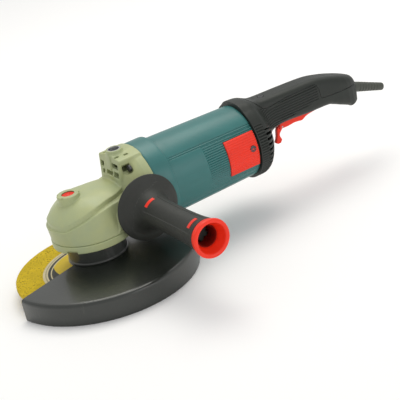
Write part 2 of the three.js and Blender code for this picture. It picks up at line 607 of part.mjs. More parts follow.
for (const [side, name] of [[1, 'left'], [-1, 'right']]) {
  const span = (near, far) => (side > 0 ? [near, far] : [-far, -near]);
  piece(`brush_cover_${name}`, brushCover(side), RED);
  piece(`brush_cover_screw_${name}`,
    screw('y', [COVER.screwX, 0, up(COVER.screwZ)], [side * 50.7, side * 52], [side * 51, side * 44.5], 4, 2),
    STEEL);
  const holder = cut(
    box(BRUSH_X - 6, BRUSH_X + 6, ...span(17, 46.5), up(-5), up(5)),
    box(BRUSH_X - 4.8, BRUSH_X + 4.8, ...span(10, 44.5), up(-3.8), up(3.8)));
  piece(`brush_holder_${name}`, holder, BRASS);
  const brush = cut(box(BRUSH_X - 4.5, BRUSH_X + 4.5, ...span(12, 34), up(-3.5), up(3.5)),
    rod('x', COMMUTATOR.r + GAP, -240, -180, MOTOR_AXIS, 48));
  piece(`carbon_brush_${name}`, brush, CARBON);
}

// ---- rear handle ----
const BELL = [
  [54, HOUSING_REAR_X - GAP], [54, -250], [53.2, -255], [50.5, -259.5], [45.5, -264], [38.5, -269],
  [31, -273], [20, -276],
];
const BELL_HOLLOW = [
  [50.6, -230], [50.6, -249], [47.5, -255.5], [41, -262], [34, -266.5], [27, -269.8], [0, -271.5],
];
// side view of the grip: x and height above the motor axis
const SPINE = [
  [-244, 52], [-253, 50.5], [-276, 46.8], [-319, 45.6], [-361, 43.7], [-386, 38.7], [-405, 33],
  [-423, 26.6], [-432, 21.8], [-436.5, 15.9], [-438.8, 8.7], [-437.3, -5.8], [-435.5, -14.5],
];
const BELLY = [
  [-429.7, -15.8], [-419.8, -18.2], [-413.8, -14.8], [-398.9, -8.1], [-388, -3.4], [-378, -0.6], [-345, 0.2],
  [-322, 1.8], [-305, 2.4], [-290, 0.6], [-276, -6],
];
const HOLLOW = [
  [-244, 48], [-276, 43.6], [-319, 42.6], [-361, 40.7], [-385, 35.7], [-404, 30], [-421, 24],
  [-429, 19], [-433.5, 8], [-433.5, -11], [-420, -13], [-413, -9], [-399, -4.6], [-388, 0.2], [-378, 3],
  [-345, 3.8], [-322, 5.2], [-305, 5.6], [-284, 3.6],
];
// half width of the grip from above: x and half width
const PLAN = [
  [-400, HANDLE_HALF], [-412, 19.4], [-420, 17], [-427, 13.6], [-433, 8.8], [-436.8, 4], [-438.2, 0],
];
const HOLLOW_PLAN = [
  [-398, HANDLE_HALF - HANDLE_WALL], [-410, 16.2], [-418, 13.6], [-424, 10.2], [-429, 6], [-432, 0],
];
const LID_EDGE = [
  [-254, 75], [-256.5, 56], [-259, 52.6], [-266, 45], [-272.5, 37.5], [-278, 35], [-284, 35.2],
  [-312, 38], [-335, 38.4], [-360, 38], [-362.5, 36.5], [-364.5, 30.5], [-366, 22], [-366, 16],
  [-383, 14.5], [-400, 14], [-417, 13.5], [-450, 12.5], [-450, 75],
];
const lifted = outline => outline.map(([x, z]) => [x, up(z)]);

// both sides of a plan view, closed at a straight front end
function planOutline(half, front) {
  const side = [[front, half[0][1]], ...half];
  return [...side, ...side.slice(0, -1).reverse().map(([x, y]) => [x, -y])];
}

function handleSolid() {
  const bell = turned('x', [[0, BELL[0][1]], ...BELL, [0, -276]], 40, MOTOR_AXIS);
  const neck = prism('y', lifted([...SPINE, ...BELLY, [-268, -20], [-244, -20]]), -HANDLE_HALF, HANDLE_HALF);
  return join(bell, common(neck, prism('z', planOutline(PLAN, -240), 0, 200)));
}

function handleShell() {
  const inner = HANDLE_HALF - HANDLE_WALL;
  const bellHollow = turned('x', [[0, -230], ...BELL_HOLLOW], 24, MOTOR_AXIS);
  const neckHollow = common(prism('y', lifted(HOLLOW), -inner, inner),
    prism('z', planOutline(HOLLOW_PLAN, -230), 0, 200));
  const frontHollow = box(-290, -230, -inner, inner, up(3.6), up(38));
  return cut(handleSolid(), bellHollow, neckHollow, frontHollow);
}

// vents through the rear of the bell, on both sides
function coolingSlots() {
  const height = 3;
  return [-34, -22, -10].flatMap(z => [1, -1].map(side =>
    box(-267, -253, side > 0 ? 12 : -60, side > 0 ? 60 : -12, up(z), up(z + height))));
}

function handleBody() {
  const lid = prism('y', lifted(LID_EDGE), -HANDLE_HALF - 0.8, HANDLE_HALF + 0.8);
  const shell = cut(handleShell(), lid, box(-390, -284, -8.6, 8.6, up(-30), up(7)));
  const bridge = common(box(FRONT_SCREW_X - 5, FRONT_SCREW_X + 5, -60, 60, up(16), up(25)), handleSolid());
  const post = rod('z', 5, up(-13.5), up(-4), [REAR_SCREW_X, 0, 0], 20);
  return cut(join(shell, bridge, post), ...coolingSlots(),
    rod('z', 2.4, up(-30), up(5), [REAR_SCREW_X, 0, 0], 12),
    rod('z', 4.6, up(-30), up(-9), [REAR_SCREW_X, 0, 0], 16),
    rod('z', 2.4, up(15), up(30), [FRONT_SCREW_X, 0, 0], 12), SLEEVE_HOLE);
}

function handleCover() {
  const lid = prism('y', lifted(LID_EDGE), -HANDLE_HALF - 0.5, HANDLE_HALF + 0.5);
  const rearPost = rod('z', 5, up(-3.6), up(31), [REAR_SCREW_X, 0, 0], 20);
  const frontPost = rod('z', 6, up(25.3), up(46), [FRONT_SCREW_X, 0, 0], 20);
  const posts = common(join(rearPost, frontPost), handleSolid());
  const skin = common(handleShell(), lid);
  return cut(join(skin, posts), rod('z', 1.9, up(-10), up(14), [REAR_SCREW_X, 0, 0], 12),
    rod('z', 2.4, up(20), up(60), [FRONT_SCREW_X, 0, 0], 12),
    rod('z', 4.5, up(44.7), up(60), [FRONT_SCREW_X, 0, 0], 16), SLEEVE_HOLE);
}

const SLEEVE_AT = [-425, 0, up(6.6)];

function alongSleeve(profile, segments = 16) {
  const geometry = new THREE.LatheGeometry(profile.map(([r, h]) => new THREE.Vector2(r, h)), segments);
  geometry.rotateZ(Math.PI / 2).rotateY(-radians(SLEEVE_TILT)).translate(...SLEEVE_AT);
  return solid(geometry);
}

const SLEEVE_HOLE = alongSleeve([[0, -2], [7.5, -2], [7.5, 30], [0, 30]]);

function cableSleeve() {
  return alongSleeve([
    [3.6, -3], [8.4, -3], [8.4, 1], [7.1, 1], [7.1, 16], [5.2, 59], [3.6, 59], [3.6, -3],
  ]);
}

function trigger() {
  const outline = lifted([
    [-386, -2.4], [-387, 5], [-383, 8], [-378, 8], [-370, 4.5], [-322, 3], [-302, 2], [-299, -3], [-301, -7],
    [-311, -7.6], [-325, -6.6], [-338, -8.1], [-345.8, -4.4], [-360, -2.6],
  ]);
  const slot = box(-313, -290, -3.3, 3.3, up(-20), up(-1.2));
  return cut(prism('y', outline, -8.2, 8.2), slot,
    rod('y', 1.9, -20, 20, [TRIGGER_PIN[0], 0, up(TRIGGER_PIN[1])], 12),
    rod('y', 1.4, -20, 20, [LEVER_PIN[0], 0, up(LEVER_PIN[1])], 12));
}

function lockOffLever() {
  const outline = lifted([
    [-301, -1.9], [-297.4, -9], [-296, -17], [-292, -25.3], [-300, -28], [-303, -24], [-300.6, -17],
    [-303.5, -12.2], [-308, -8], [-309, -3.5], [-306, -1.9],
  ]);
  return cut(prism('y', outline, -3, 3), rod('y', 1.4, -20, 20, [LEVER_PIN[0], 0, up(LEVER_PIN[1])], 12));
}

function switchUnit() {
  const body = box(-352, -300, -13, 13, up(12.5), up(27));
  return cut(body, rod('z', 3.3, up(10), up(22.5), [PLUNGER_X, 0, 0], 12));
}

piece('handle_body', handleBody(), BLACK);
piece('handle_cover', handleCover(), BLACK);
piece('handle_screw_rear',
  screw('z', [REAR_SCREW_X, 0, 0], [up(-9.3), up(-12)], [up(-10), up(12)], 4.2, 1.6), STEEL);
piece('handle_screw_front',
  screw('z', [FRONT_SCREW_X, 0, 0], [up(45), up(47.4)], [up(46), up(18)], 4.1, 2.1), STEEL);
piece('trigger', trigger(), RED);
piece('trigger_pin', rod('y', 1.6, -16, 16, [TRIGGER_PIN[0], 0, up(TRIGGER_PIN[1])], 12), STEEL);
piece('lock_off_lever', lockOffLever(), RED);
piece('lock_off_pin', rod('y', 1.1, -7.6, 7.6, [LEVER_PIN[0], 0, up(LEVER_PIN[1])], 12), STEEL);
piece('switch_unit', switchUnit(), WHITE_PLASTIC);
piece('switch_plunger', rod('z', 3, up(5.6), up(17), [PLUNGER_X, 0, 0], 12), RED);
piece('cable_sleeve', cableSleeve(), BLACK);
piece('cable_clamp', box(-404, -394, -12, 12, up(9), up(12)), DARK_STEEL);
piece('suppression_capacitor', rod('x', 7, -277, -255, [0, 0, up(14)], 20), WHITE_PLASTIC);

export default root;
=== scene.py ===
import math

import bmesh
import bpy
import numpy as np
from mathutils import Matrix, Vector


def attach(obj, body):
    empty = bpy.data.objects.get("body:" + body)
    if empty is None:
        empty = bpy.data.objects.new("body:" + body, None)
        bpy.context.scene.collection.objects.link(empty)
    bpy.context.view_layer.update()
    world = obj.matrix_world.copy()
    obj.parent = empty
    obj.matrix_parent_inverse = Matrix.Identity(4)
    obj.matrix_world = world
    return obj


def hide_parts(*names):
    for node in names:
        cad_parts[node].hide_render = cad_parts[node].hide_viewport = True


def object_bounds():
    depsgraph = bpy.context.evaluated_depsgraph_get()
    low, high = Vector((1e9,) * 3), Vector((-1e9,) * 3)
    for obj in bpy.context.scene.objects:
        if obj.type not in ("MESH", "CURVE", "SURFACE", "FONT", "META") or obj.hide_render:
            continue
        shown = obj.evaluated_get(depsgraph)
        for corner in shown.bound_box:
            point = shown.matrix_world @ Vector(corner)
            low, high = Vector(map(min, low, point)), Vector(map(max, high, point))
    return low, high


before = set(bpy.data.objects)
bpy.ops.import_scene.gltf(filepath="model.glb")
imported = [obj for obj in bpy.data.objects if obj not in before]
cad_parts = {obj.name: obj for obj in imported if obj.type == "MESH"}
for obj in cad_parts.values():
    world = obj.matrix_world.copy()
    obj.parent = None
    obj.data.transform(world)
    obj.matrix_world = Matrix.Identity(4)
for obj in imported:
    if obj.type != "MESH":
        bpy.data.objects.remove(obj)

import openvdb
from bpy.props import BoolProperty, FloatProperty, FloatVectorProperty, IntProperty, PointerProperty
from mathutils import Matrix, Vector

bl_info = {
    "name": "Large Angle Grinder",
    "version": (1, 0, 0),
    "blender": (4, 5, 0),
    "location": "View3D > Sidebar > Grinder",
    "description": "Builds the outer pieces, finishes and studio of a 230 mm angle grinder",
    "category": "Add Mesh",
}

CAD_BOX = [list(corner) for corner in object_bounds()]
MILLIMETRE = 0.001
AXIS_Z = 83.0  # motor axis above the spindle's lower end, in millimetres
HANDLE_AT = (-56.3, AXIS_Z - 6.4)  # side handle's axis, x and z
LOCK_X = 19.7
SPLIT_Z = 55.0  # between the bearing flange and the gear housing
BELL_FRONT_X = -238.2
HANDLE_BOSS_FACE = 57.9  # from the middle plane
TOP_BOSS = (-57.6, 0)
HEAD_SCREWS = [(y, AXIS_Z + z) for y, z in ((30, 40), (-30, 40), (-30, -40), (30, -40))]
BAND_BORE_R = 35.3
GROOVE_START = 36.5  # degrees above the side, where the housing's and covers' grooves are counted from
LEVER_PIN = (-304.5, -4.8)  # x, and height above the motor axis
HOUSING_GRID, HANDLE_GRID, COARSE_GRID, SCREW_GRID = 0.64, 0.66, 1.6, 0.22


# ---- shapes ----

def join(a, b, blend=0.0):
    """The union of two distance fields, with a fillet of about that size where they meet."""
    return -trim(-a, -b, blend)


def trim(a, b, blend=0.0):
    """What two distance fields have in common, with its new edges eased by about that much."""
    far = np.maximum(a, b)
    if blend <= 0:
        return far
    near = np.maximum(blend - np.abs(a - b), 0) / blend
    return far + near * near * blend * 0.25


def cut(a, b, blend=0.0):
    """The first distance field without the second."""
    return trim(a, -b, blend)


def slab(values, low, high):
    """Distance to the space between two planes."""
    return np.maximum(low - values, values - high)


def ramp(values, start, end):
    """0 before start and 1 after end, with an eased rise between them."""
    t = np.clip((values - start) / (end - start), 0, 1)
    return t * t * (3 - 2 * t)


def outline(u, v, points):
    """Distance in a plane to a closed outline, negative inside it."""
    nearest = np.full(np.broadcast(u, v).shape, 1e9, np.float32)
    inside = np.zeros(nearest.shape, bool)
    for (au, av), (bu, bv) in zip(points, points[1:] + points[:1]):
        du, dv = bu - au, bv - av
        t = np.clip(((u - au) * du + (v - av) * dv) / (du * du + dv * dv), 0, 1)
        nearest = np.minimum(nearest, (u - au - t * du) ** 2 + (v - av - t * dv) ** 2)
        if dv:
            inside ^= ((av > v) != (bv > v)) & (u < au + (v - av) * du / dv)
    return np.where(inside, -1, 1) * np.sqrt(nearest)


def flowing(points, steps=6):
    """A smooth line through points, with that many steps between two of them."""
    p = np.array([points[0], *points, points[-1]], float)
    t = np.linspace(0, 1, steps, endpoint=False)[:, None]
    line = []
    for a, b, c, d in zip(p, p[1:], p[2:], p[3:]):
        line.extend(0.5 * (2 * b + (c - a) * t + (2 * a - 5 * b + 4 * c - d) * t ** 2
                           + (3 * b - a - 3 * c + d) * t ** 3))
    return [tuple(float(c) for c in q) for q in line] + [tuple(points[-1])]


def table(values, keys, heights, soften=9):
    """Heights read off a curve through keys, with its corners rounded."""
    at = np.linspace(keys[0], keys[-1], 241)
    curve = np.pad(np.interp(at, keys, heights), soften, mode="edge")
    bell = np.hanning(2 * soften + 3)[1:-1]
    return np.interp(values, at, np.convolve(curve, bell / bell.sum(), mode="valid"))


def eased(profile, size, closed=False):
    """A profile with its corners rounded by up to that size."""
    p = [np.array(q, float) for q in profile]
    result = []
    for i, corner in enumerate(p):
        if not closed and i in (0, len(p) - 1):
            result.append(corner)
            continue
        before, after = p[i - 1] - corner, p[(i + 1) % len(p)] - corner
        reach = min(size, 0.45 * np.linalg.norm(before), 0.45 * np.linalg.norm(after))
        start = corner + before / np.linalg.norm(before) * reach
        end = corner + after / np.linalg.norm(after) * reach
        result += [(1 - t) ** 2 * start + 2 * t * (1 - t) * corner + t * t * end for t in (0, 0.33, 0.67, 1)]
    return result


def mesh_piece(name, points, faces, sharp=None):
    """An object made of points in millimetres and faces, with smooth shading and outward faces."""
    mesh = bpy.data.meshes.new(name)
    spots = (np.asarray(points, float) * MILLIMETRE).tolist()
    mesh.from_pydata(spots, [], [[int(i) for i in f] for f in faces])
    if sharp is not None:
        work = bmesh.new()
        work.from_mesh(mesh)
        bmesh.ops.remove_doubles(work, verts=work.verts, dist=1e-6)
        bmesh.ops.recalc_face_normals(work, faces=work.faces)
        work.to_mesh(mesh)
        work.free()
    mesh.polygons.foreach_set("use_smooth", [True] * len(mesh.polygons))
    if sharp is not None:
        mesh.set_sharp_from_angle(angle=math.radians(sharp))
    piece = bpy.data.objects.new(name, mesh)
    bpy.context.scene.collection.objects.link(piece)
    return piece


class Block:
    """A box of grid points, in millimetres, on which a cast or moulded shape is worked out."""

    def __init__(self, low, high, step):
        self.low = np.array(low, float)
        self.step = step
        axes = [np.arange(a, b + step, step, dtype=np.float32) for a, b in zip(low, high)]
        self.x, self.y, self.z = np.meshgrid(*axes, indexing="ij", sparse=True)

    def rod(self, axis, radius, at, low, high, blend=0.0):
        """Distance to a cylinder; at holds the two other coordinates of its axis."""
        across = [c for name, c in zip("xyz", (self.x, self.y, self.z)) if name != axis]
        along = {"x": self.x, "y": self.y, "z": self.z}[axis]
        around = np.hypot(across[0] - at[0], across[1] - at[1]) - radius
        return trim(around, slab(along, low, high), blend)

    def box(self, x0, x1, y0, y1, z0, z1, blend=0.0):
        """Distance to a box."""
        return trim(trim(slab(self.x, x0, x1), slab(self.y, y0, y1), blend), slab(self.z, z0, z1), blend)

    def piece(self, name, distance):
        """The surface where the distance is nought, as an object."""
        grid = openvdb.FloatGrid(float(self.step * 4))
        shape = (self.x.shape[0], self.y.shape[1], self.z.shape[2])
        grid.copyFromArray(np.array(np.broadcast_to(distance, shape), dtype=np.float32, order="C"))
        points, quads = grid.convertToQuads(isovalue=0.0)
        return mesh_piece(name, points * self.step + self.low, quads)


def skin(name, rows, loop=True, around=True, caps=False, sharp=40):
    """A surface over rows of points: loop closes each column of rows, around closes each row."""
    rows = np.asarray(rows, float)
    count, width = rows.shape[:2]
    faces = []
    for i in range(count if loop else count - 1):
        for j in range(width if around else width - 1):
            a, b = i * width, (i + 1) % count * width
            k = (j + 1) % width
            faces.append((a + j, a + k, b + k, b + j))
    if caps:
        faces += [[i * width for i in range(count)], [i * width + width - 1 for i in range(count)]]
    return mesh_piece(name, rows.reshape(-1, 3), faces, sharp)


def around_axis(axis, radius, angle, height, at):
    """Points at a radius and angle about an axis through at; the angle starts from +Y for x, else +X."""
    a, b = radius * np.cos(angle), radius * np.sin(angle)
    spots = {"x": (height, a, b), "y": (a, height, b), "z": (a, b, height)}[axis]
    return np.stack(np.broadcast_arrays(*(s + c for s, c in zip(spots, at))), axis=-1)


def turned(name, axis, at, profile, ease=0.5, segments=96, closed=False, shape=None, sweep=None, sharp=40):
    """A profile of [radius, height] turned about an axis, whose radius may change with the angle."""
    line = np.array(eased(profile, ease, closed))
    whole = sweep is None
    turn = np.linspace(0, 2 * np.pi, segments, endpoint=False) if whole else np.radians(
        np.linspace(sweep[0], sweep[1], segments))
    radius, height = line[:, :1], line[:, 1:]
    if shape:
        radius = shape(radius, height, turn[None, :])
    rows = around_axis(axis, radius, turn[None, :], height, at)
    return skin(name, rows, loop=closed, around=whole, caps=not whole, sharp=sharp)


# ---- finishes ----

COAT_ROUGHNESS = 0.15
SHEET_TURNS = 12566.0  # radians to the metre, for sheets half a millimetre thick
WIRE_TURNS = 4200.0  # radians to the metre, for turns of wire about 1.5 mm apart


def linear(code):
    """Scene-linear red, green and blue of a colour written in hexadecimal."""
    channels = [int(code[i:i + 2], 16) / 255 for i in (0, 2, 4)]
    return [c / 12.92 if c <= 0.04045 else ((c + 0.055) / 1.055) ** 2.4 for c in channels]


class Wire:
    """A value on a socket; arithmetic on it adds Math nodes."""

    def __init__(self, finish, socket):
        self.finish = finish
        self.socket = socket

    def math(self, operation, *others, clamp=False):
        inputs = dict(enumerate((self, *others)))
        return self.finish.node("ShaderNodeMath", {"operation": operation, "use_clamp": clamp}, inputs)

    def __add__(self, other):
        return self.math("ADD", other)

    def __radd__(self, other):
        return self.math("ADD", other)

    def __sub__(self, other):
        return self.math("SUBTRACT", other)

    def __rsub__(self, other):
        return self.math("MULTIPLY", -1.0) + other

    def __mul__(self, other):
        return self.math("MULTIPLY", other)

    def __rmul__(self, other):
        return self.math("MULTIPLY", other)

    def __truediv__(self, other):
        return self.math("DIVIDE", other)

    def __pow__(self, other):
        return self.math("POWER", other)

    def between(self, low, high):
        """0 below low and 1 above high, rising evenly."""
        return ((self - low) / (high - low)).math("ADD", 0.0, clamp=True)


class Finish:
    """A material, with the nodes that give its colour, roughness and relief."""

    def __init__(self, name):
        self.material = bpy.data.materials.new(name)
        self.material.use_nodes = True
        self.tree = self.material.node_tree
        self.tree.nodes.clear()

    def node(self, kind, settings=None, inputs=None, output=0):
        """Adds a node: its settings first, then the values or wires of its sockets."""
        node = self.tree.nodes.new(kind)
        for key, value in (settings or {}).items():
            setattr(node, key, value)
        for key, value in (inputs or {}).items():
            if isinstance(value, Wire):
                self.tree.links.new(value.socket, node.inputs[key])
            else:
                node.inputs[key].default_value = value
        return Wire(self, node.outputs[output]) if output is not None else None

    def place(self, stretch=(1, 1, 1)):
        """The point on the piece, stretched along each axis."""
        spot = self.node("ShaderNodeTexCoord", output="Object")
        return self.node("ShaderNodeVectorMath", {"operation": "MULTIPLY"}, {0: spot, 1: stretch})

    def axis(self, name):
        """One coordinate of the point on the piece, in metres."""
        return self.node("ShaderNodeSeparateXYZ", None, {0: self.place()}, "XYZ".index(name))

    def noise(self, scale, detail=3.0, rough=0.55, stretch=(1, 1, 1)):
        """Cloudy noise from 0 to 1, with scale features to the metre."""
        return self.node("ShaderNodeTexNoise", None, {
            "Vector": self.place(stretch), "Scale": scale, "Detail": detail, "Roughness": rough})

    def specks(self, scale):
        """Distance to the nearest of many scattered grains."""
        return self.node("ShaderNodeTexVoronoi", None, {"Vector": self.place(), "Scale": scale})

    def edges(self, low=0.515, high=0.56):
        """1 where the surface turns sharply outwards, as at a rubbed edge; on the cast paint it also carries a
        painted edge highlight.
        """
        return self.node("ShaderNodeNewGeometry", output="Pointiness").between(low, high)

    def mix(self, factor, a, b):
        """Colours a and b mixed by a factor."""
        a, b = (c if isinstance(c, Wire) else (*c, 1) for c in (a, b))
        return self.node("ShaderNodeMix", {"data_type": "RGBA"}, {0: factor, 6: a, 7: b}, output=2)

    def shade(self, colour, roughness, relief=None, height=0.0001, metallic=0.0, coat=0.0, specular=0.5):
        """Ends the material in a Principled shader with relief given in metres."""
        inputs = {"Base Color": colour, "Roughness": roughness, "Metallic": metallic, "Coat Weight": coat,
                  "Coat Roughness": COAT_ROUGHNESS, "Specular IOR Level": specular}
        if relief is not None:
            inputs["Normal"] = self.node("ShaderNodeBump", None, {
                "Height": relief, "Strength": 1.0, "Distance": height})
        shader = self.node("ShaderNodeBsdfPrincipled", None, inputs)
        self.node("ShaderNodeOutputMaterial", None, {"Surface": shader}, output=None)
        return self.material


def scaled(colour, share):
    """A colour made darker or lighter by a share."""
    return [min(1.0, c * share) for c in colour]


def cast_paint(name, colour):
    """Satin paint on a casting: soft mottling, a slight orange peel, and sharp edges lightened as rubbed paint
    and as a painted highlight.
    """
    f = Finish(name)
    cloud = f.noise(38, 4)
    peel = f.noise(650, 2)
    grain = f.noise(2600, 1)
    warm = [colour[0] * 1.06, colour[1], colour[2] * 0.86]
    body = f.mix(cloud.between(0.3, 0.7), scaled(colour, 0.93), warm)
    body = f.mix(grain.between(0.45, 0.75) * 0.16, body, scaled(colour, 0.7))
    # sharp edges lightened: partly rubbed paint, partly a painted highlight along the ridges
    body = f.mix(f.edges() * 0.3 * cloud.between(0.3, 0.6), body, scaled(colour, 1.15))
    relief = peel * 0.7 + grain * 0.3
    return f.shade(body, 0.36 + cloud * 0.16 + grain * 0.06, relief, 0.00012, coat=0.12)


def moulded(name, colour, roughness, texture, haze, specular=0.5):
    """Moulded plastic: fine spark texture, faint flow marks, handling haze and worn edges."""
    f = Finish(name)
    cloud = f.noise(26, 5)
    flow = f.noise(60, 3, stretch=(0.25, 1, 1))
    spark = f.noise(3200, 2)
    smear = f.noise(120, 4, stretch=(1, 0.35, 1)).between(0.55, 0.8)
    body = f.mix(flow.between(0.3, 0.7), scaled(colour, 0.9), scaled(colour, 1.08))
    body = f.mix(f.edges() * 0.5 * cloud.between(0.2, 0.6), body, [c * 0.9 + 0.05 for c in colour])
    body = f.mix(smear * haze * 0.5, body, [c * 0.8 + 0.04 for c in colour])
    rough = roughness + (cloud - 0.5) * 0.14 + smear * haze
    return f.shade(body, rough, spark, texture, specular=specular)


def enamel(name, colour):
    """Black enamel on pressed sheet: slight orange peel, dust and lighter scuffs."""
    f = Finish(name)
    cloud = f.noise(18, 5)
    peel = f.noise(420, 2)
    dust = f.noise(900, 3).between(0.62, 0.75)
    scuffs = f.noise(70, 6, 0.7, stretch=(1, 1, 0.3)).between(0.62, 0.7)
    body = f.mix(cloud.between(0.3, 0.7), scaled(colour, 0.85), scaled(colour, 1.2))
    body = f.mix(dust * 0.1 + scuffs * 0.08, body, [0.16, 0.16, 0.13])
    return f.shade(body, 0.3 + cloud * 0.1 + scuffs * 0.08 + dust * 0.1, peel, 0.00018, coat=0.5)


def metal(name, colour, roughness=0.28, brush=(1, 1, 12)):
    """Turned or drawn metal: fine tool lines, tarnish and small scratches."""
    f = Finish(name)
    lines = f.noise(900, 3, stretch=brush)
    tarnish = f.noise(55, 5)
    body = f.mix(tarnish.between(0.35, 0.75), colour, scaled(colour, 0.7))
    body = f.mix(lines.between(0.4, 0.8) * 0.3, body, scaled(colour, 1.2))
    return f.shade(body, roughness + lines * 0.12 + tarnish * 0.14, lines, 0.00003, metallic=1.0)


def laminated(name, colour):
    """Stacked steel sheets seen on edge, each with a thin dark joint."""
    f = Finish(name)
    sheets = (f.axis("X") * SHEET_TURNS).math("SINE").between(0.6, 1.0)
    rust = f.noise(90, 5).between(0.5, 0.8)
    body = f.mix(sheets, colour, scaled(colour, 0.35))
    body = f.mix(rust * 0.4, body, [0.16, 0.09, 0.05])
    return f.shade(body, 0.42 + rust * 0.2, 1 - sheets, 0.00005, metallic=0.85)


def wound(name, colour):
    """Enamelled winding wire under varnish, in fine turns."""
    f = Finish(name)
    turns = (f.axis("X") * WIRE_TURNS + f.noise(60) * 5.0).math("SINE")
    varnish = f.noise(45, 4).between(0.3, 0.7)
    body = f.mix(turns.between(-1, 0.2), scaled(colour, 0.4), colour)
    body = f.mix(varnish * 0.35, body, scaled(colour, 0.6))
    return f.shade(body, 0.3 + varnish * 0.15, turns, 0.00012, metallic=0.75, coat=0.4)


def grit(name, colour, dark, pale):
    """A pressed abrasive wheel: bonded grains, with printed rings and a printed panel on its label."""
    f = Finish(name)
    grains = f.specks(1150)
    coarse = f.specks(290)
    cloud = f.noise(55, 5)
    x, y = f.axis("X"), f.axis("Y")
    radius = ((x * x + y * y) ** 0.5) * 1000
    body = f.mix(cloud.between(0.3, 0.7), scaled(colour, 0.86), scaled(colour, 1.1))
    body = f.mix(grains.between(0.62, 0.3) * 0.35, body, scaled(colour, 0.5))
    body = f.mix(coarse.between(0.4, 0.18) * cloud.between(0.3, 0.6) * 0.85, body, scaled(colour, 0.2))
    label = radius.between(78.6, 78.1)
    print_ring = radius.between(67.6, 67.9) * radius.between(71.6, 71.3)
    tint = f.noise(240, 4).between(0.35, 0.7)
    paper = f.mix(tint * 0.5, pale, scaled(pale, 0.72))
    paper = f.mix(radius.between(75.2, 74.9) * radius.between(73.4, 73.7) * 0.45, paper, dark)
    panel = radius.between(66.3, 66.0)
    turn = y.math("ARCTAN2", x)
    crescent = (radius - turn.math("ABSOLUTE") * 24 - 48).between(0, 0.3)
    ink = f.mix(tint * 0.4, dark, scaled(dark, 1.7))
    face = f.mix(crescent, f.mix(tint * 0.25, colour, scaled(colour, 0.8)), ink)
    paper = f.mix(print_ring, paper, ink)
    paper = f.mix(panel, paper, face)
    body = f.mix(label, body, paper)
    relief = (1 - grains) * (1 - label * 0.8) + cloud * 0.3
    return f.shade(body, 0.86 - label * 0.3, relief, 0.0005, specular=0.3)


def carbon_block(name, colour):
    """Pressed carbon, matt and faintly sooty."""
    f = Finish(name)
    soot = f.noise(800, 4)
    body = f.mix(soot.between(0.4, 0.7), colour, scaled(colour, 2.2))
    return f.shade(body, 0.62 + soot * 0.2, soot, 0.0001)


MADE = {}


def finish(name):
    """The material of that name, made the first time it is asked for."""
    if name not in MADE:
        colours = bpy.context.scene.grinder_finishes
        makers = {
            "head_paint": lambda: cast_paint(name, list(colours.head)),
            "housing_plastic": lambda: moulded(name, list(colours.housing), 0.36, 0.00004, 0.08),
            "black_plastic": lambda: moulded(name, list(colours.black), 0.46, 0.00009, 0.1, specular=0.4),
            "grip_rubber": lambda: moulded(name, list(colours.grip), 0.56, 0.00012, 0.16),
            "guard_paint": lambda: enamel(name, list(colours.guard)),
            "red_plastic": lambda: moulded(name, list(colours.red), 0.36, 0.00004, 0.03, specular=0.35),
            # red darkened to a quarter: painted shade for the hollow of the side handle's red end
            "red_painted_shade": lambda: moulded(
                name, scaled(list(colours.red), 0.25), 0.6, 0.00008, 0.03, specular=0.2),
            "steel": lambda: metal(name, [0.56, 0.57, 0.58]),
            "dark_steel": lambda: metal(name, [0.11, 0.11, 0.115], 0.34),
            "copper": lambda: wound(name, [0.62, 0.27, 0.11]),
            "laminations": lambda: laminated(name, [0.32, 0.32, 0.33]),
            "carbon": lambda: carbon_block(name, [0.02, 0.02, 0.021]),
            "brass": lambda: metal(name, [0.6, 0.43, 0.16], 0.3),
            "white_plastic": lambda: moulded(name, [0.68, 0.66, 0.6], 0.45, 0.00005, 0.1),
            "abrasive": lambda: grit(name, list(colours.abrasive), [0.03, 0.032, 0.024], list(colours.label)),
            "sleeve_rubber": lambda: moulded(name, scaled(list(colours.grip), 3.0), 0.5, 0.00008, 0.12),
        }
        MADE[name] = makers[name]()
    return MADE[name]


def settle(piece, body, look, slot, *nodes):
    """Gives a piece its finish, the body it rides on and the CAD nodes it stands for."""
    piece.data.materials.clear()
    piece.data.materials.append(finish(look))
    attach(piece, body)
    if nodes:
        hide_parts(*nodes)


def screw(name, axis, at, reach, head_radius, body, look, node, way=1):
    """A pan head screw with a six-lobed recess; reach is where the head starts and ends along the axis."""
    low, high = min(reach), max(reach)
    spread = head_radius + 1
    index = "xyz".index(axis)
    lows = [c - spread for c in at]
    highs = [c + spread for c in at]
    lows[index], highs[index] = (low - 4, high + 1) if way > 0 else (low - 1, high + 4)
    block = Block(lows, highs, SCREW_GRID)
    across = [c for c in (0, 1, 2) if c != index]
    coords = (block.x, block.y, block.z)
    u, v = (coords[c] - at[c] for c in across)
    along = coords[index]
    r = np.hypot(u, v)
    top = high if way > 0 else low
    depth = (top - along) * way
    crown = 0.06 * np.maximum(r - head_radius * 0.3, 0) ** 1.6
    head = trim(r - head_radius, slab(along, low, high) + crown, 0.8)
    lobes = head_radius * (0.44 + 0.09 * np.cos(6 * np.arctan2(v, u)))
    head = cut(head, trim(r - lobes, depth - 1.5, 0.1), 0.3)
    start, end = (low - 3, high - 0.6) if way > 0 else (low + 0.6, high + 3)
    shank = trim(r - head_radius * 0.45, slab(along, start, end))
    piece = block.piece(name, join(head, shank, 0.3))
    settle(piece, body, look, look, node)


# ---- settings ----

def colour_setting(name, description, code):
    """A colour that the sidebar shows, with its default written in hexadecimal."""
    return FloatVectorProperty(
        name=name, description=description, subtype="COLOR", size=3, min=0, max=1, default=linear(code))


def length_setting(name, description, default, least=0.0):
    """A length in metres that the sidebar shows."""
    return FloatProperty(
        name=name, description=description, subtype="DISTANCE", unit="LENGTH", min=least, default=default)


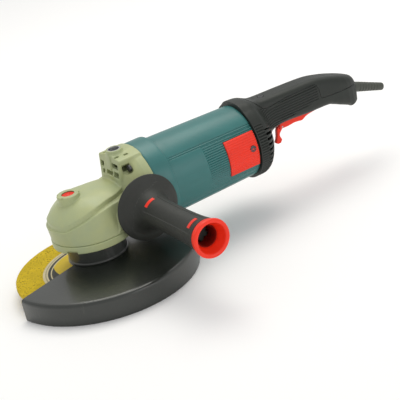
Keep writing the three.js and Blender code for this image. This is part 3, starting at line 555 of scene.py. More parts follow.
class GrinderFinishes(bpy.types.PropertyGroup):
    """Colours of the painted and moulded pieces."""

    head: colour_setting("Gear Head", "Paint of the gear housing and bearing flange", "a8b287")
    housing: colour_setting("Motor Housing", "Plastic of the motor housing", "2f6d6b")
    black: colour_setting("Rear Handle", "Plastic of the bell and rear handle", "1f241f")
    grip: colour_setting("Side Grip", "Rubber of the side handle and cable sleeve", "252722")
    guard: colour_setting("Guard", "Enamel of the guard and its band", "20241f")
    red: colour_setting("Red Parts", "Plastic of the trigger, covers and handle end", "f03016")
    abrasive: colour_setting("Abrasive", "Grain colour of the grinding disc", "d2b51c")
    label: colour_setting("Disc Label", "Pale paper ring on the grinding disc", "cbbf98")


class GrinderSizes(bpy.types.PropertyGroup):
    """Sizes of the small shapes on the outer pieces."""

    groove_depth: length_setting(
        "Housing Groove Depth", "Depth of the lengthwise grooves of the motor housing", 0.0011)
    groove_pitch: FloatProperty(
        name="Housing Groove Pitch", description="Angle between two grooves of the motor housing",
        subtype="ANGLE", unit="ROTATION", min=0.02, default=math.radians(3.5))
    rib_depth: length_setting(
        "Handle Rib Depth", "Depth of the grooves on the bell and the handle's neck", 0.0018)
    ledge: length_setting("Top Plate Step", "Height of the step round the gear head's top plate", 0.0055)
    thread_pitch: length_setting(
        "Spindle Thread Pitch", "Pitch of the thread on the spindle's nose", 0.002, 0.0005)
    vents: IntProperty(
        name="Vent Slots", description="Number of vent slots on each side of the bell",
        min=0, max=12, default=10)
    fine: BoolProperty(
        name="Fine Casting", description="Works the cast and moulded pieces out on the fine grid",
        default=True)


class GrinderStudio(bpy.types.PropertyGroup):
    """Camera and lights."""

    eye: FloatVectorProperty(
        name="Camera Place", description="Where the camera stands",
        subtype="TRANSLATION", unit="LENGTH", size=3, default=(0.7063, 1.7348, 0.8537))
    lens: FloatProperty(
        name="Focal Length", description="Camera lens for a 36 mm wide sensor, in millimetres",
        min=20, max=400, default=142.07)
    key: FloatProperty(
        name="Overhead Light", description="Power of the large light above the grinder",
        subtype="POWER", unit="POWER", min=0, default=16.5)
    fill: FloatProperty(
        name="Front Light", description="Power of the soft light beside the camera",
        subtype="POWER", unit="POWER", min=0, default=9.0)
    room: FloatProperty(
        name="Room Light", description="Strength of the white surroundings",
        min=0, max=5, default=0.7)


# ---- pieces ----

class BuildStage(bpy.types.Operator):
    """Pale floor, soft lights and camera"""
    bl_idname = "grinder.build_stage"
    bl_label = "Stage"

    def execute(self, context):
        studio = context.scene.grinder_studio
        floor_z = CAD_BOX[0][2]
        half = 6.0
        mesh = bpy.data.meshes.new("studio_floor")
        steps = 12
        line = np.linspace(-half, half, steps + 1)
        points = [(a, b, floor_z) for a in line for b in line]
        side = steps + 1
        corners = [i * side + j for i in range(steps) for j in range(steps)]
        quads = [(k, k + side, k + side + 1, k + 1) for k in corners]
        mesh.from_pydata(points, [], quads)
        floor = bpy.data.objects.new("studio_floor", mesh)
        context.scene.collection.objects.link(floor)
        paper = Finish("studio_paper")
        fibre = paper.noise(400, 3)
        tone = paper.mix(paper.noise(3, 2) * 0.2 + fibre * 0.1, [0.96, 0.96, 0.96], [0.94, 0.94, 0.94])
        mesh.materials.append(paper.shade(tone, 0.8 + fibre * 0.1, fibre, 0.00005, specular=0.2))

        world = bpy.data.worlds.new("studio_room")
        context.scene.world = world
        world.use_nodes = True
        room = world.node_tree.nodes["Background"]
        room.inputs["Color"].default_value = (1, 1, 1, 1)
        room.inputs["Strength"].default_value = studio.room

        middle = Vector((-0.12, 0.03, 0.06))
        lights = [
            ("overhead_light", (-0.5, -0.5, 1.7), studio.key, 1.3, (1, 0.975, 0.91)),
            ("front_light", (-0.8, 2.3, 0.8), studio.fill, 1.2, (1, 1, 1)),
        ]
        for name, place, power, size, tint in lights:
            light = bpy.data.lights.new(name, "AREA")
            light.shape, light.size, light.energy = "SQUARE", size, power
            light.color = tint
            lamp = bpy.data.objects.new(name, light)
            lamp.location = place
            lamp.rotation_euler = (middle - Vector(place)).to_track_quat("-Z", "Y").to_euler()
            context.scene.collection.objects.link(lamp)

        camera = bpy.data.cameras.new("camera")
        camera.sensor_width, camera.lens, camera.clip_end = 36, studio.lens, 50
        eye = bpy.data.objects.new("camera", camera)
        right, upward = Vector((-0.828, 0.5171, -0.217)), Vector((-0.3814, -0.2356, 0.8939))
        back = right.cross(upward).normalized()
        upward = back.cross(right).normalized()
        turn = Matrix((right.normalized(), upward, back)).transposed().to_4x4()
        eye.matrix_world = Matrix.Translation(Vector(studio.eye)) @ turn
        context.scene.collection.objects.link(eye)
        context.scene.camera = eye
        context.scene.view_settings.view_transform = "Standard"
        return {"FINISHED"}


# front ring of the gear housing: x and radius
HEAD_RING = [
    (-82, 57.5), (-76, 57.5), (-70, 56.6), (-64, 54.0), (-59, 50.3), (-54, 46.0), (-47, 38), (-40, 27),
]
# openings of the air block: from and to across, then from and to above the motor axis
AIR_SLOTS = [(-23, -15, 37.5, 45), (-20, -14, 28, 34), (-8, 8, 30, 35), (7, 23, 40.5, 47), (11, 23, 29, 36)]
# outline of the top plate: angle from straight ahead, radius and height above the motor axis
RIDGE = [
    (0, 54.4, -1.9), (26, 54.4, -1.5), (35, 51.8, 0.2), (40, 51.0, 2), (50, 49.2, 5.2), (60, 47.2, 8.2),
    (74, 45.3, 12.4), (86, 43.4, 14.6), (104, 41.3, 15.8), (117, 42, 16.1), (125, 44.5, 16.5),
    (138, 48, 17.4), (160, 56, 19.5), (180, 60, 21),
]
PLATE_TOP = 24.8
# raised pad of the head's wall round the side handle's boss, x and height above the motor axis
BOSS_PAD = [(-14, -24), (-18, -4), (-30, 4), (-46, 12), (-70, 14), (-78, 10), (-78, -26)]


class BuildGearHousing(bpy.types.Operator):
    """Cast gear housing with its top plate, air block, bosses and threaded inserts"""
    bl_idname = "grinder.build_gear_housing"
    bl_label = "Gear Housing"

    def execute(self, context):
        sizes = context.scene.grinder_sizes
        ledge = sizes.ledge / MILLIMETRE
        b = Block((-82, -60, 52), (57, 60, 147), HOUSING_GRID if sizes.fine else COARSE_GRID)
        x, y, z = b.x, b.y, b.z - AXIS_Z
        radius = np.hypot(x, y)
        angle = np.degrees(np.arctan2(np.abs(y), x))
        keys, radii, heights = zip(*RIDGE)
        ridge_r, ridge_z = table(angle, keys, radii), table(angle, keys, heights)
        side = np.radians(np.maximum(angle, 90))
        base_r = 53.9 / (np.sin(side) - 0.057 * np.cos(side) + 1e-3)
        base_z = SPLIT_Z + 0.3 - AXIS_Z
        rise = np.clip((z - base_z) / (ridge_z - base_z), 0, 1)
        wall = (radius - base_r - (ridge_r + 2.2 - base_r) * rise ** 1.2) * 0.96
        dome = ridge_z + (PLATE_TOP - ridge_z) * (1 - (radius / ridge_r) ** 2.8)
        shoulder = np.maximum(z - (ridge_z - ledge) + 0.3 * (radius - ridge_r), z - dome + 2)
        lower = trim(wall, shoulder, 0.9)
        plate = trim((radius - ridge_r + 1.2) * 0.97, (z - dome) * 0.85, 0.7)
        head = join(lower, plate, 0.3)
        pad = trim(wall - 1.5, outline(x, z, BOSS_PAD), 1.5)
        head = join(head, pad, 2.0)
        head = trim(head, np.maximum(base_z - z, -76 - x))

        lean = (x + 42.5 + 4.8 * (z - 15) / 41) * 0.99
        rib = join(lean, np.maximum(lean - 1.2, np.abs(y - 4.5) - 1.4), 0.6)
        top = z - 56 + 0.004 * y * y - 0.6 * ramp(-np.abs(y - 8), -4, -1)
        air = trim(trim(trim(rib, np.abs(y) - 27.5, 2.2), top, 2.0), -80.3 - x)
        air = trim(air, 10 - z)
        ring_r = table(x, *zip(*HEAD_RING), 5)
        around = np.hypot(y, z)
        ring = trim((around - ring_r) * 0.8, slab(x, -80.3, -43), 0.6)
        solid = join(join(head, ring, 3.0), air, 2.0)

        boss = np.hypot(x - HANDLE_AT[0], b.z - HANDLE_AT[1]) - 14
        solid = join(solid, trim(boss, np.abs(y) - HANDLE_BOSS_FACE, 0.8), 7.0)
        solid = trim(solid, np.abs(y) - HANDLE_BOSS_FACE)
        lock = b.rod("z", 15, (LOCK_X, 0), AXIS_Z + 5, AXIS_Z + 29.8, 1.0)
        top_boss = b.rod("z", 11, TOP_BOSS, AXIS_Z + 40, AXIS_Z + 61.5, 1.2)
        solid = join(join(solid, lock, 1.2), top_boss, 3.0)

        hollow = b.rod("z", 41, (0, 0), 0, AXIS_Z - 3.5, 2)
        for axis, bore, spot, low, high in (
                ("z", 24, (0, 0), 70, AXIS_Z + 3), ("z", 11.3, (0, 0), 70, 98.3),
                ("x", 16.3, (0, AXIS_Z), -90, -46.7), ("x", 12, (0, AXIS_Z), -60, -18)):
            hollow = join(hollow, b.rod(axis, bore, spot, low, high))
        hollow = join(hollow, b.box(-90, -50, -24, 24, AXIS_Z + 25, AXIS_Z + 52, 3))
        for y0, y1, z0, z1 in AIR_SLOTS:
            hollow = join(hollow, b.box(-56, -38, y0, y1, AXIS_Z + z0, AXIS_Z + z1, 1))
        for spot in HEAD_SCREWS:
            hollow = join(hollow, b.rod("x", 6.6, spot, -61, -50))
        hollow = join(hollow, trim(np.hypot(x - HANDLE_AT[0], b.z - HANDLE_AT[1]) - 8.7, 44 - np.abs(y)))
        for bore, spot, low, high in (
                (8.7, TOP_BOSS, 44, 70), (9.9, (LOCK_X, 0), 19.5, 28.9), (8.3, (LOCK_X, 0), 25, 40),
                (3.4, (LOCK_X, 0), -8, 25)):
            hollow = join(hollow, b.rod("z", bore, spot, AXIS_Z + low, AXIS_Z + high))
        for px, py in ((-51.5, 15), (-64, 17), (-52, -17), (-66, -15)):
            hollow = join(hollow, b.box(px - 3, px + 3, py - 2.2, py + 2.2, AXIS_Z + 52, AXIS_Z + 60, 0.8))
        for turn in (30, 150, 210, 330):
            spot = (LOCK_X + 15.5 * math.cos(math.radians(turn)), 15.5 * math.sin(math.radians(turn)))
            hollow = join(hollow, b.rod("z", 2.2, spot, AXIS_Z + 27.5, AXIS_Z + 40))
        housing = b.piece("gear_housing_casting", cut(solid, hollow, 0.5))
        settle(housing, "tool_body", "head_paint", "head_paint", "gear_housing")

        profile = [(7.2, 0), (8.5, 0), (8.5, 12), (7.2, 12)]
        places = [("z", (*TOP_BOSS, AXIS_Z + 49.2)), ("y", (HANDLE_AT[0], -57.6, HANDLE_AT[1])),
                  ("y", (HANDLE_AT[0], 45.6, HANDLE_AT[1]))]
        for i, (axis, at) in enumerate(places):
            name = f"thread_insert_{i + 1}"
            insert = turned(name, axis, at, self.threaded(profile), 0, 48, True, self.thread)
            settle(insert, "tool_body", "steel", "steel")
        return {"FINISHED"}

    @staticmethod
    def threaded(profile):
        """The insert's profile with many rings on its inner wall."""
        inner = [(7.2, h) for h in np.arange(0.3, 11.8, 0.4)]
        return [*profile, *inner[::-1]]

    @staticmethod
    def thread(radius, height, turn):
        """Cuts a helical thread into the inner wall."""
        wave = np.abs(((height / 2 - turn / (2 * np.pi)) % 1) - 0.5)
        return np.where(radius < 7.6, radius + 0.5 * wave, radius)


class BuildBearingFlange(bpy.types.Operator):
    """Cast bearing flange under the gear housing, with its screws"""
    bl_idname = "grinder.build_bearing_flange"
    bl_label = "Bearing Flange"

    def execute(self, context):
        b = Block((-57, -57, 19), (57, 57, 57), 0.8)
        x, y = b.x, b.y
        radius = np.hypot(x, y)
        plate = trim(radius - 54.5, slab(b.z, 45, SPLIT_Z), 1.2)
        neck = trim(radius - 35, slab(b.z, 21, 50), 0.8)
        solid = join(plate, neck, 2.5)
        solid = cut(solid, trim(radius - 20.3, 29.7 - b.z))
        solid = cut(solid, trim(radius - 12, slab(b.z, 0, 40)), 0.8)
        turn = np.degrees(np.arctan2(y, x))
        for centre in (31, 149, -31, -149):
            notch = trim(np.abs(turn - centre) * 0.9 - 7.5, slab(b.z, 40, 48.6), 0.6)
            solid = cut(solid, trim(notch, 49.5 - radius), 0.5)
        for i, centre in enumerate((45, 135, 225, 315)):
            spot = (47.5 * math.cos(math.radians(centre)), 47.5 * math.sin(math.radians(centre)))
            solid = join(solid, b.rod("z", 6.5, spot, 46, 54, 0.5), 0.5)
            solid = cut(solid, b.rod("z", 4.7, spot, 40, 49))
            screw(f"flange_bolt_{i + 1}", "z", (*spot, 0), (45.4, 48.7), 4.2, "tool_body", "dark_steel",
                  f"flange_screw_{i + 1}", way=-1)
        flange = b.piece("bearing_flange_casting", solid)
        settle(flange, "tool_body", "head_paint", "head_paint", "bearing_flange")
        return {"FINISHED"}


class BuildHeadScrews(bpy.types.Operator):
    """Four screws that hold the gear head to the motor housing"""
    bl_idname = "grinder.build_head_screws"
    bl_label = "Head Screws"

    def execute(self, context):
        for i, spot in enumerate(HEAD_SCREWS):
            screw(f"head_bolt_{i + 1}", "x", (0, *spot), (-60.7, -56.5), 4.7, "tool_body", "dark_steel",
                  f"head_screw_{i + 1}")
        return {"FINISHED"}


class BuildSpindleLock(bpy.types.Operator):
    """Red spindle lock button with its grooved top"""
    bl_idname = "grinder.build_spindle_lock"
    bl_label = "Spindle Lock Button"

    def execute(self, context):
        b = Block((LOCK_X - 11, -11, AXIS_Z + 24), (LOCK_X + 11, 11, AXIS_Z + 33), 0.3)
        radius = np.hypot(b.x - LOCK_X, b.y)
        solid = trim(radius - 9.4, slab(b.z, AXIS_Z + 25, AXIS_Z + 28.7 - 0.008 * radius ** 2), 1.2)
        for ring in (3.0, 6.0):
            groove = trim(np.abs(radius - ring) - 0.5, AXIS_Z + 27.8 - b.z)
            solid = cut(solid, groove, 0.3)
        button = b.piece("spindle_lock_button", solid)
        settle(button, "lock_body", "red_plastic", "red_plastic", "lock_button")
        return {"FINISHED"}


class BuildSideHandle(bpy.types.Operator):
    """Side handle: moulded grip with its flange, red marks and flared red end"""
    bl_idname = "grinder.build_side_handle"
    bl_label = "Side Handle"

    GRIP_START = 58.2
    PANEL_TURN = 64.0  # degrees about the handle from +X
    PANEL_HALF = 42.0

    def execute(self, context):
        at = (HANDLE_AT[0], 0, HANDLE_AT[1])
        f = self.GRIP_START
        curve = [
            (43.2, f + 3.0), (38.5, f + 5.6), (33, f + 7.6), (27, f + 11.5), (23, f + 18), (20.8, f + 27),
            (19.6, f + 42), (19.3, f + 60), (19.3, f + 90), (19.9, f + 116), (21.2, f + 134), (22.4, 203.4)]
        outer = flowing(curve, 8)
        profile = [(7.2, f), (30, f), (42.6, f + 0.7), (43.4, f + 1.4), (43.4, f + 2.4), *outer,
                   (21.8, 204), (15.2, 204), (15.2, 118), (7.2, 118)]
        grip = turned("side_handle_rubber", "y", at, profile, 0.5, 240, True, self.panels)
        settle(grip, "tool_body", "grip_rubber", "black_plastic", "side_handle_grip")

        for name, y0, y1 in (("grip_mark_inner", f + 26, f + 31), ("grip_mark_outer", 187, 193)):
            mark = self.mark(name, y0, y1, at, outer)
            settle(mark, "tool_body", "red_plastic", "red_plastic")

        core = turned("side_handle_end", "y", at, [
            (0, 118.3), (14.9, 118.3), (14.9, 204.3), (22.4, 204.3), (23.4, 208), (25, 213.6), (24.4, 216),
            (22.6, 216.4), (19.6, 215.6), (17.8, 211), (15.6, 206.5), (14.2, 203.4), (14.1, 140), (0, 140)],
            1.2, 128)
        settle(core, "tool_body", "red_plastic", "red_plastic", "side_handle_core")
        # a dark red sleeve inside the bore of the red end, standing for the shadow in the hole: painted shade
        painted_shade = turned("handle_end_painted_shade", "y", at, [
            (12.9, 142), (13.8, 142), (13.8, 203), (13.3, 203.2), (12.9, 202.4)], 0.3, 96, True)
        settle(painted_shade, "tool_body", "red_painted_shade", "red_plastic")
        star = turned("handle_end_star", "y", at, [
            (0, 141), (11.2, 141), (11.2, 187), (10.2, 188), (0, 188)], 0.4, 144,
            shape=lambda r, h, a: r * (1 - 0.3 * (0.5 + 0.5 * np.cos(6 * a)) ** 2))
        settle(star, "tool_body", "black_plastic", "black_plastic")
        return {"FINISHED"}

    @classmethod
    def panels(cls, radius, height, turn):
        """Sinks a long panel with a raised edge into two sides of the grip."""
        away = np.abs((np.degrees(turn) - cls.PANEL_TURN + 90) % 180 - 90)
        half = cls.PANEL_HALF - 3
        inside = ramp(half - away, -1.2, 1.2) * ramp(height, 82, 85) * ramp(-height, -197, -194)
        edge = np.exp(-((away - half - 2) / 1.6) ** 2) * ramp(height, 80, 84) * ramp(-height, -199, -195)
        on_grip = ramp(radius, 15.5, 18.5)
        return radius + on_grip * (0.25 * edge - 0.6 * inside)

    @classmethod
    def mark(cls, name, y0, y1, at, outer):
        """A slim raised bar across the panel, between two distances along the grip."""
        radii, heights = zip(*outer)
        along = np.linspace(y0, y1, 7)
        r = np.interp(along, heights, radii) - 0.55
        turn = np.radians(np.linspace(cls.PANEL_TURN - 22, cls.PANEL_TURN + 22, 40))[None, :]
        high = around_axis("y", (r + 0.35)[:, None], turn, along[:, None], at)
        low = around_axis("y", (r - 0.6)[:, None], turn, along[:, None], at)
        return skin(name, np.concatenate([high, low[::-1]]), loop=True, around=False, caps=True)


class BuildMotorHousing(bpy.types.Operator):
    """Motor housing with its front ring, side lines, fine grooves and recesses for the brush covers"""
    bl_idname = "grinder.build_motor_housing"
    bl_label = "Motor Housing"

    def execute(self, context):
        sizes = context.scene.grinder_sizes
        depth = sizes.groove_depth / MILLIMETRE
        pitch = math.degrees(sizes.groove_pitch)
        x = np.array(sorted({
            -80.6, -80.9, -81.6, -84, -90, -96, -101, -104.6, -105.6, -106.1, -106.3, -106.6, -107.4, -109.6,
            -110.4, -158.5, -159.3, -189.5, -189.9, -236.1, -236.6, -237.4, -237.9,
            *np.arange(-116, -236, -6.0)}, reverse=True))
        turn = np.radians(np.arange(0, 360, 0.5))
        lift = np.degrees(np.arctan2(np.sin(turn), np.abs(np.cos(turn))))[None, :]
        xs = x[:, None]
        shell = np.interp(
            -x, [80.6, 81.6, 105.4, 106.25, 106.6, 237.1, 237.9], [56.9, 57.5, 57.5, 56.4, 53.2, 50.0, 49.6])
        behind = ramp(-xs, 109.6, 110.4)
        grooved = ramp(-xs, 158.5, 159.3) * ramp(lift, -35.6, -35) * ramp(-lift, -38, -37.4)
        waves = (0.5 + 0.5 * np.cos(2 * np.pi * (lift - GROOVE_START) / pitch)) ** 2
        r = shell[:, None] - depth * waves * grooved
        for line in (38.4, 41.5, -43.5, -47):
            r = r - 1.1 * np.exp(-((lift - line) / 0.8) ** 2) * behind
        recess = (xs < -189.7) & (xs > -236.3) & (lift < 30.6) & (lift > -25.6)
        r = np.where(recess, 48.6, r)
        outer = around_axis("x", r, turn[None, :], xs, (0, 0, AXIS_Z))
        inner_x = np.array([-237.9, -180, -108, -104, -80.6])[:, None]
        inner_r = np.array([46.8, 48.1, 49.8, 54.4, 54.4])[:, None]
        inner = around_axis("x", inner_r, turn[None, :], inner_x, (0, 0, AXIS_Z))
        housing = skin("motor_housing_shell", np.concatenate([outer, inner]), sharp=32)
        settle(housing, "tool_body", "housing_plastic", "housing_plastic", "motor_housing")
        return {"FINISHED"}


class BuildBrushCovers(bpy.types.Operator):
    """Ribbed brush cover and its screw on each side of the motor"""
    bl_idname = "grinder.build_brush_covers"
    bl_label = "Brush Covers"

    SCREW_AT = (-228, AXIS_Z + 3.7)

    def execute(self, context):
        screw_x, screw_z = self.SCREW_AT
        for side, name in ((1, "left"), (-1, "right")):
            x = np.array([-190.0, -190.3, -191, -196, -205, -215, -225, -231, -235, -235.7, -236.0])
            lift = np.arange(-25.2, 30.31, 0.35)
            ease = np.interp(np.minimum(lift - lift[0], lift[-1] - lift), [0, 0.7], [-0.5, 0])[None, :]
            ends = np.interp(-x, [190, 190.7, 235.3, 236], [-0.5, 0, 0, -0.5])[:, None]
            waves = (0.5 + 0.5 * np.cos(2 * np.pi * (lift - GROOVE_START) / 3.5)) ** 2
            r = 52.55 - (0.65 * waves)[None, :] + np.minimum(ease, ends)
            angle = np.radians(lift if side > 0 else 180 - lift)[None, :]
            outer = around_axis("x", r, angle, x[:, None], (0, 0, AXIS_Z))
            inner = around_axis("x", np.full_like(r, 49.2), angle, x[:, None], (0, 0, AXIS_Z))
            sheet = np.concatenate([outer, inner[::-1]])
            panel = skin(f"brush_cover_panel_{name}", sheet, loop=True, around=False, caps=True)
            settle(panel, "tool_body", "red_plastic", "red_plastic", f"brush_cover_{name}")
            collar = turned(f"brush_cover_collar_{name}", "y", (screw_x, side * 51.4, screw_z), [
                (2.0, -0.6), (4.4, -0.6), (4.4, 1.5), (3.6, 1.6), (3.3, 0.9), (2.0, 0.9)], 0.2, 48, True)
            settle(collar, "tool_body", "dark_steel", "dark_steel")
            screw(f"brush_cover_bolt_{name}", "y", (screw_x, 0, screw_z), (side * 51.0, side * 52.7), 2.9,
                  "tool_body", "dark_steel", f"brush_cover_screw_{name}", way=side)
        return {"FINISHED"}


BELL = [
    (BELL_FRONT_X, 54), (-250, 54), (-253, 53.6), (-256, 52.6), (-259.5, 50.5), (-264, 45.5), (-269, 38.5),
    (-273, 31), (-276, 20),
]
SPINE = [
    (-236, 53), (-244, 52), (-253, 50.5), (-276, 46.8), (-319, 45.6), (-361, 43.7), (-386, 38.7), (-405, 33),
    (-423, 26.6), (-432, 21.8), (-436.5, 15.9), (-438.8, 8.7), (-438.6, 1), (-437.3, -5.8), (-435.5, -14.5),
]
BELLY = [
    (-434, -16.4), (-429.7, -17.6), (-419.8, -18.2), (-413.8, -14.8), (-398.9, -8.1), (-388, -3.4),
    (-378, -0.6), (-345, 0.2), (-322, 1.8), (-305, 2.4), (-290, 0.6), (-276, -6),
]
# half width of the neck from above
PLAN = [
    (-230, 20.5), (-400, 20.5), (-412, 19.4), (-420, 17.2), (-427, 14), (-433, 9.4), (-436.8, 4.6), (-438.3, 0),
]
LID_EDGE = [
    (-254, 75), (-256.5, 56), (-259, 52.6), (-266, 45), (-272.5, 37.5), (-278, 35), (-284, 35.2), (-312, 38),
    (-335, 38.4), (-360, 38), (-362.5, 36.5), (-364.5, 30.5), (-366, 22), (-366, 16), (-383, 14.5),
    (-400, 14), (-417, 13.5), (-450, 12.5), (-450, 75),
]
FRONT_SCREW_X = -285.0
REAR_SCREW_X = -411.0
SLEEVE_AT = (-425.0, AXIS_Z + 6.6)
SLEEVE_TILT = math.radians(20)


class BuildRearHandle(bpy.types.Operator):
    """Rear handle body and its lid, with vent slots, ribs and screws"""
    bl_idname = "grinder.build_rear_handle"
    bl_label = "Rear Handle"

    def execute(self, context):
        sizes = context.scene.grinder_sizes
        step = HANDLE_GRID if sizes.fine else COARSE_GRID
        b = Block((-442, -57, AXIS_Z - 57), (-236, 57, AXIS_Z + 57), step)
        x, y, z = b.x, b.y, b.z - AXIS_Z
        around = np.hypot(y, z)
        bell = outline(x, around, [(BELL_FRONT_X, -20), *BELL, (-276, -20)])
        side = flowing(SPINE) + flowing(BELLY) + [(-268, -20), (-250, -36), (-236, -40)]
        plan = PLAN + [(along, -half) for along, half in PLAN[-2::-1]]
        neck = trim(outline(x, z, side), outline(x, y, plan), 13)
        solid = join(bell, neck, 9)
        solid = trim(solid, x - BELL_FRONT_X, 0.6)

        rib = sizes.rib_depth / MILLIMETRE
        lift = np.degrees(np.arctan2(z, np.abs(y)))
        on_bell = ramp(-x, 239.4, 240.2) * ramp(x, -252, -251)
        on_bell = on_bell * ramp(-lift, -34, -32.5) * ramp(lift, -58, -56)
        bell_waves = (0.5 + 0.5 * np.cos(2 * np.pi * lift / 4.0)) ** 1.5
        flow = 6.5 * ramp(-x, 258, 292)
        low_edge = 5 + 9 * ramp(-x, 280, 361)
        on_neck = (ramp(-x, 266, 270) * ramp(x, -362.5, -361) * ramp(z, low_edge, low_edge + 1)
                   * ramp(np.abs(y), 14, 17))
        neck_waves = (0.5 + 0.5 * np.cos(2 * np.pi * (z - flow) / 3.6)) ** 1.5
        lid = outline(x, z, LID_EDGE)
        on_neck = on_neck * ramp(lid, 1.2, 2.0)
        ribbed = solid + rib * np.maximum(bell_waves * on_bell, neck_waves * on_neck * 0.8)

        shell = cut(ribbed, solid + 3.2)
        shell = cut(shell, trim(around - 44, -250 - x))
        vents = np.abs((lift + 4) % 8 - 4) * np.radians(around) - 1.7
        count = sizes.vents
        span = trim(slab(x, -266, -252), slab(lift, 24 - 8 * count, 24))
        vents = trim(trim(vents, span), trim(38 - around, around - 60))
        shell = cut(shell, np.maximum(vents, 22 - np.abs(y)), 0.3)
        shell = cut(shell, b.box(-390, -284, -8.7, 8.7, AXIS_Z - 30, AXIS_Z + 7, 1.2), 0.6)
        sleeve_x, sleeve_z = x - SLEEVE_AT[0], b.z - SLEEVE_AT[1]
        away = sleeve_x * math.cos(SLEEVE_TILT) + sleeve_z * math.sin(SLEEVE_TILT)
        off = -sleeve_x * math.sin(SLEEVE_TILT) + sleeve_z * math.cos(SLEEVE_TILT)
        shell = cut(shell, trim(np.hypot(off, y) - 7.6, away - 2), 0.5)
        shell = join(shell, trim(b.rod("z", 6, (REAR_SCREW_X, 0), AXIS_Z - 16, AXIS_Z - 5), solid))
        shell = cut(shell, b.rod("z", 4.7, (REAR_SCREW_X, 0), 0, AXIS_Z - 9), 0.4)
        shell = join(shell, trim(b.rod("z", 7, (FRONT_SCREW_X, 0), AXIS_Z + 40, AXIS_Z + 60), solid))
        shell = cut(shell, b.rod("z", 4.6, (FRONT_SCREW_X, 0), AXIS_Z + 44.7, 200), 0.4)

        body = b.piece("rear_handle_body", trim(shell, 0.2 - lid, 0.3))
        settle(body, "tool_body", "black_plastic", "black_plastic", "handle_body")
        cover = b.piece("rear_handle_lid", trim(shell, lid + 0.2, 0.3))
        settle(cover, "tool_body", "black_plastic", "black_plastic", "handle_cover")
        screw("handle_bolt_front", "z", (FRONT_SCREW_X, 0, 0), (AXIS_Z + 45, AXIS_Z + 46.8), 4.1, "tool_body",
              "dark_steel", "handle_screw_front")
        shield = turned("rear_end_shield", "x", (0, 0, AXIS_Z), [
            (12.5, -241), (43.6, -241), (43.6, -244), (30, -244), (30, -266), (28, -266), (28, -244),
            (12.5, -244)], 0.6, 64, True)
        settle(shield, "tool_body", "black_plastic", "black_plastic")
        screw("handle_bolt_rear", "z", (REAR_SCREW_X, 0, 0), (AXIS_Z - 12, AXIS_Z - 9.3), 4.2, "tool_body",
              "steel", "handle_screw_rear", way=-1)
        return {"FINISHED"}


class BuildTrigger(bpy.types.Operator):
    """Red trigger with its hooked lock-off lever"""
    bl_idname = "grinder.build_trigger"
    bl_label = "Trigger"

    def execute(self, context):
        b = Block((-390, -10, AXIS_Z - 32), (-288, 10, AXIS_Z + 9), 0.55)
        x, y, z = b.x, b.y, b.z - AXIS_Z
        belly = [(-377, -2.2), (-360, -2.5), (-345.8, -4.4), (-338, -7.9), (-331.5, -7.3), (-325, -6.6),
                 (-318, -7.2), (-311, -7.6), (-301, -7)]
        back = [(-299, -3), (-302, 2), (-322, 3), (-370, 4.5), (-378, 8), (-383, 8), (-386.5, 5), (-386, -1.8)]
        blade = back + flowing(belly, 4)
        solid = trim(outline(x, z, blade), np.abs(y) - 8.2, 2.6)
        solid = cut(solid, b.box(-313, -290, -3.3, 3.3, AXIS_Z - 20, AXIS_Z - 1.2), 0.4)
        solid = cut(solid, np.hypot(x - LEVER_PIN[0], z - LEVER_PIN[1]) - 1.3)
        trigger = b.piece("trigger_blade", solid)
        settle(trigger, "trigger_body", "red_plastic", "red_plastic", "trigger")
        hook = [(-301, -1.9), (-297.4, -9), (-296, -17), (-294.5, -21.5), (-292, -25.3), (-295, -28),
                (-300, -28), (-303, -24), (-301.4, -20), (-300.6, -17), (-301.4, -14.4), (-303.5, -12.2),
                (-308, -8), (-309, -3.5), (-306, -1.9)]
        lever = trim(outline(x, z, hook), np.abs(y) - 3.0, 1.2)
        for notch in (-25.6, -22.8):
            lever = cut(lever, np.hypot(x + 291.3, z - notch) - 1.0, 0.3)
        lever = b.piece("lock_off_hook", lever)
        settle(lever, "lock_off_body", "red_plastic", "red_plastic", "lock_off_lever")
        return {"FINISHED"}


class BuildCableSleeve(bpy.types.Operator):
    """Tapered cable sleeve, ringed where it leaves the handle"""
    bl_idname = "grinder.build_cable_sleeve"
    bl_label = "Cable Sleeve"

    def execute(self, context):
        outer = [(7.1, 1.0)]
        for ring in np.arange(15.5, 46, 5.0):
            r = np.interp(ring, [15, 59], [7.1, 5.4])
            outer += [(r, ring), (r - 0.7, ring + 0.5), (r - 0.7, ring + 1.5), (r - 0.05, ring + 2.0)]
        profile = [(3.6, -3), (8.4, -3), (8.4, 1), *outer, (5.5, 57), (5.2, 59), (3.6, 59)]
        sleeve = turned("cable_sleeve_boot", "z", (0, 0, 0), profile, 0.3, 64, True)
        turn = Matrix.Rotation(math.radians(-90) - SLEEVE_TILT, 4, "Y")
        place = Matrix.Translation(Vector((SLEEVE_AT[0], 0, SLEEVE_AT[1])) * MILLIMETRE)
        sleeve.data.transform(place @ turn)
        settle(sleeve, "tool_body", "sleeve_rubber", "black_plastic", "cable_sleeve")
        return {"FINISHED"}


class BuildGuard(bpy.types.Operator):
    """Pressed guard over half of the disc, with its turned collar"""
    bl_idname = "grinder.build_guard"
    bl_label = "Guard"

    def execute(self, context):
        top = [(39.6, 20.2), (43, 19.9), (121.2, 12.4)]
        bend = [(123.4, 12.0), (125.0, 11.1), (126.1, 9.6), (126.6, 7.6)]
        inside = [(124.6, 7.2), (124.0, 8.9), (122.8, 9.9), (120.6, 10.4)]
        rim = [(126.6, -16.4), (126.2, -17.5), (125.4, -17.9), (124.8, -17.5)]
        profile = [*top, *bend, *rim, *inside, (39.6, 18.2)]
        cover = turned("guard_pressing", "z", (0, 0, 0), profile, 0.3, 181, True, sweep=(7.3, 187), sharp=50)
        settle(cover, "guard_body", "guard_paint", "guard_paint", "guard")
        collar = turned("guard_collar", "z", (0, 0, 0), [
            (36.0, 18.2), (40.2, 18.2), (40.2, 19.6), (39.4, 20.5), (36.0, 20.5)], 0.5, 128, True)
        settle(collar, "guard_body", "guard_paint", "guard_paint")
        return {"FINISHED"}


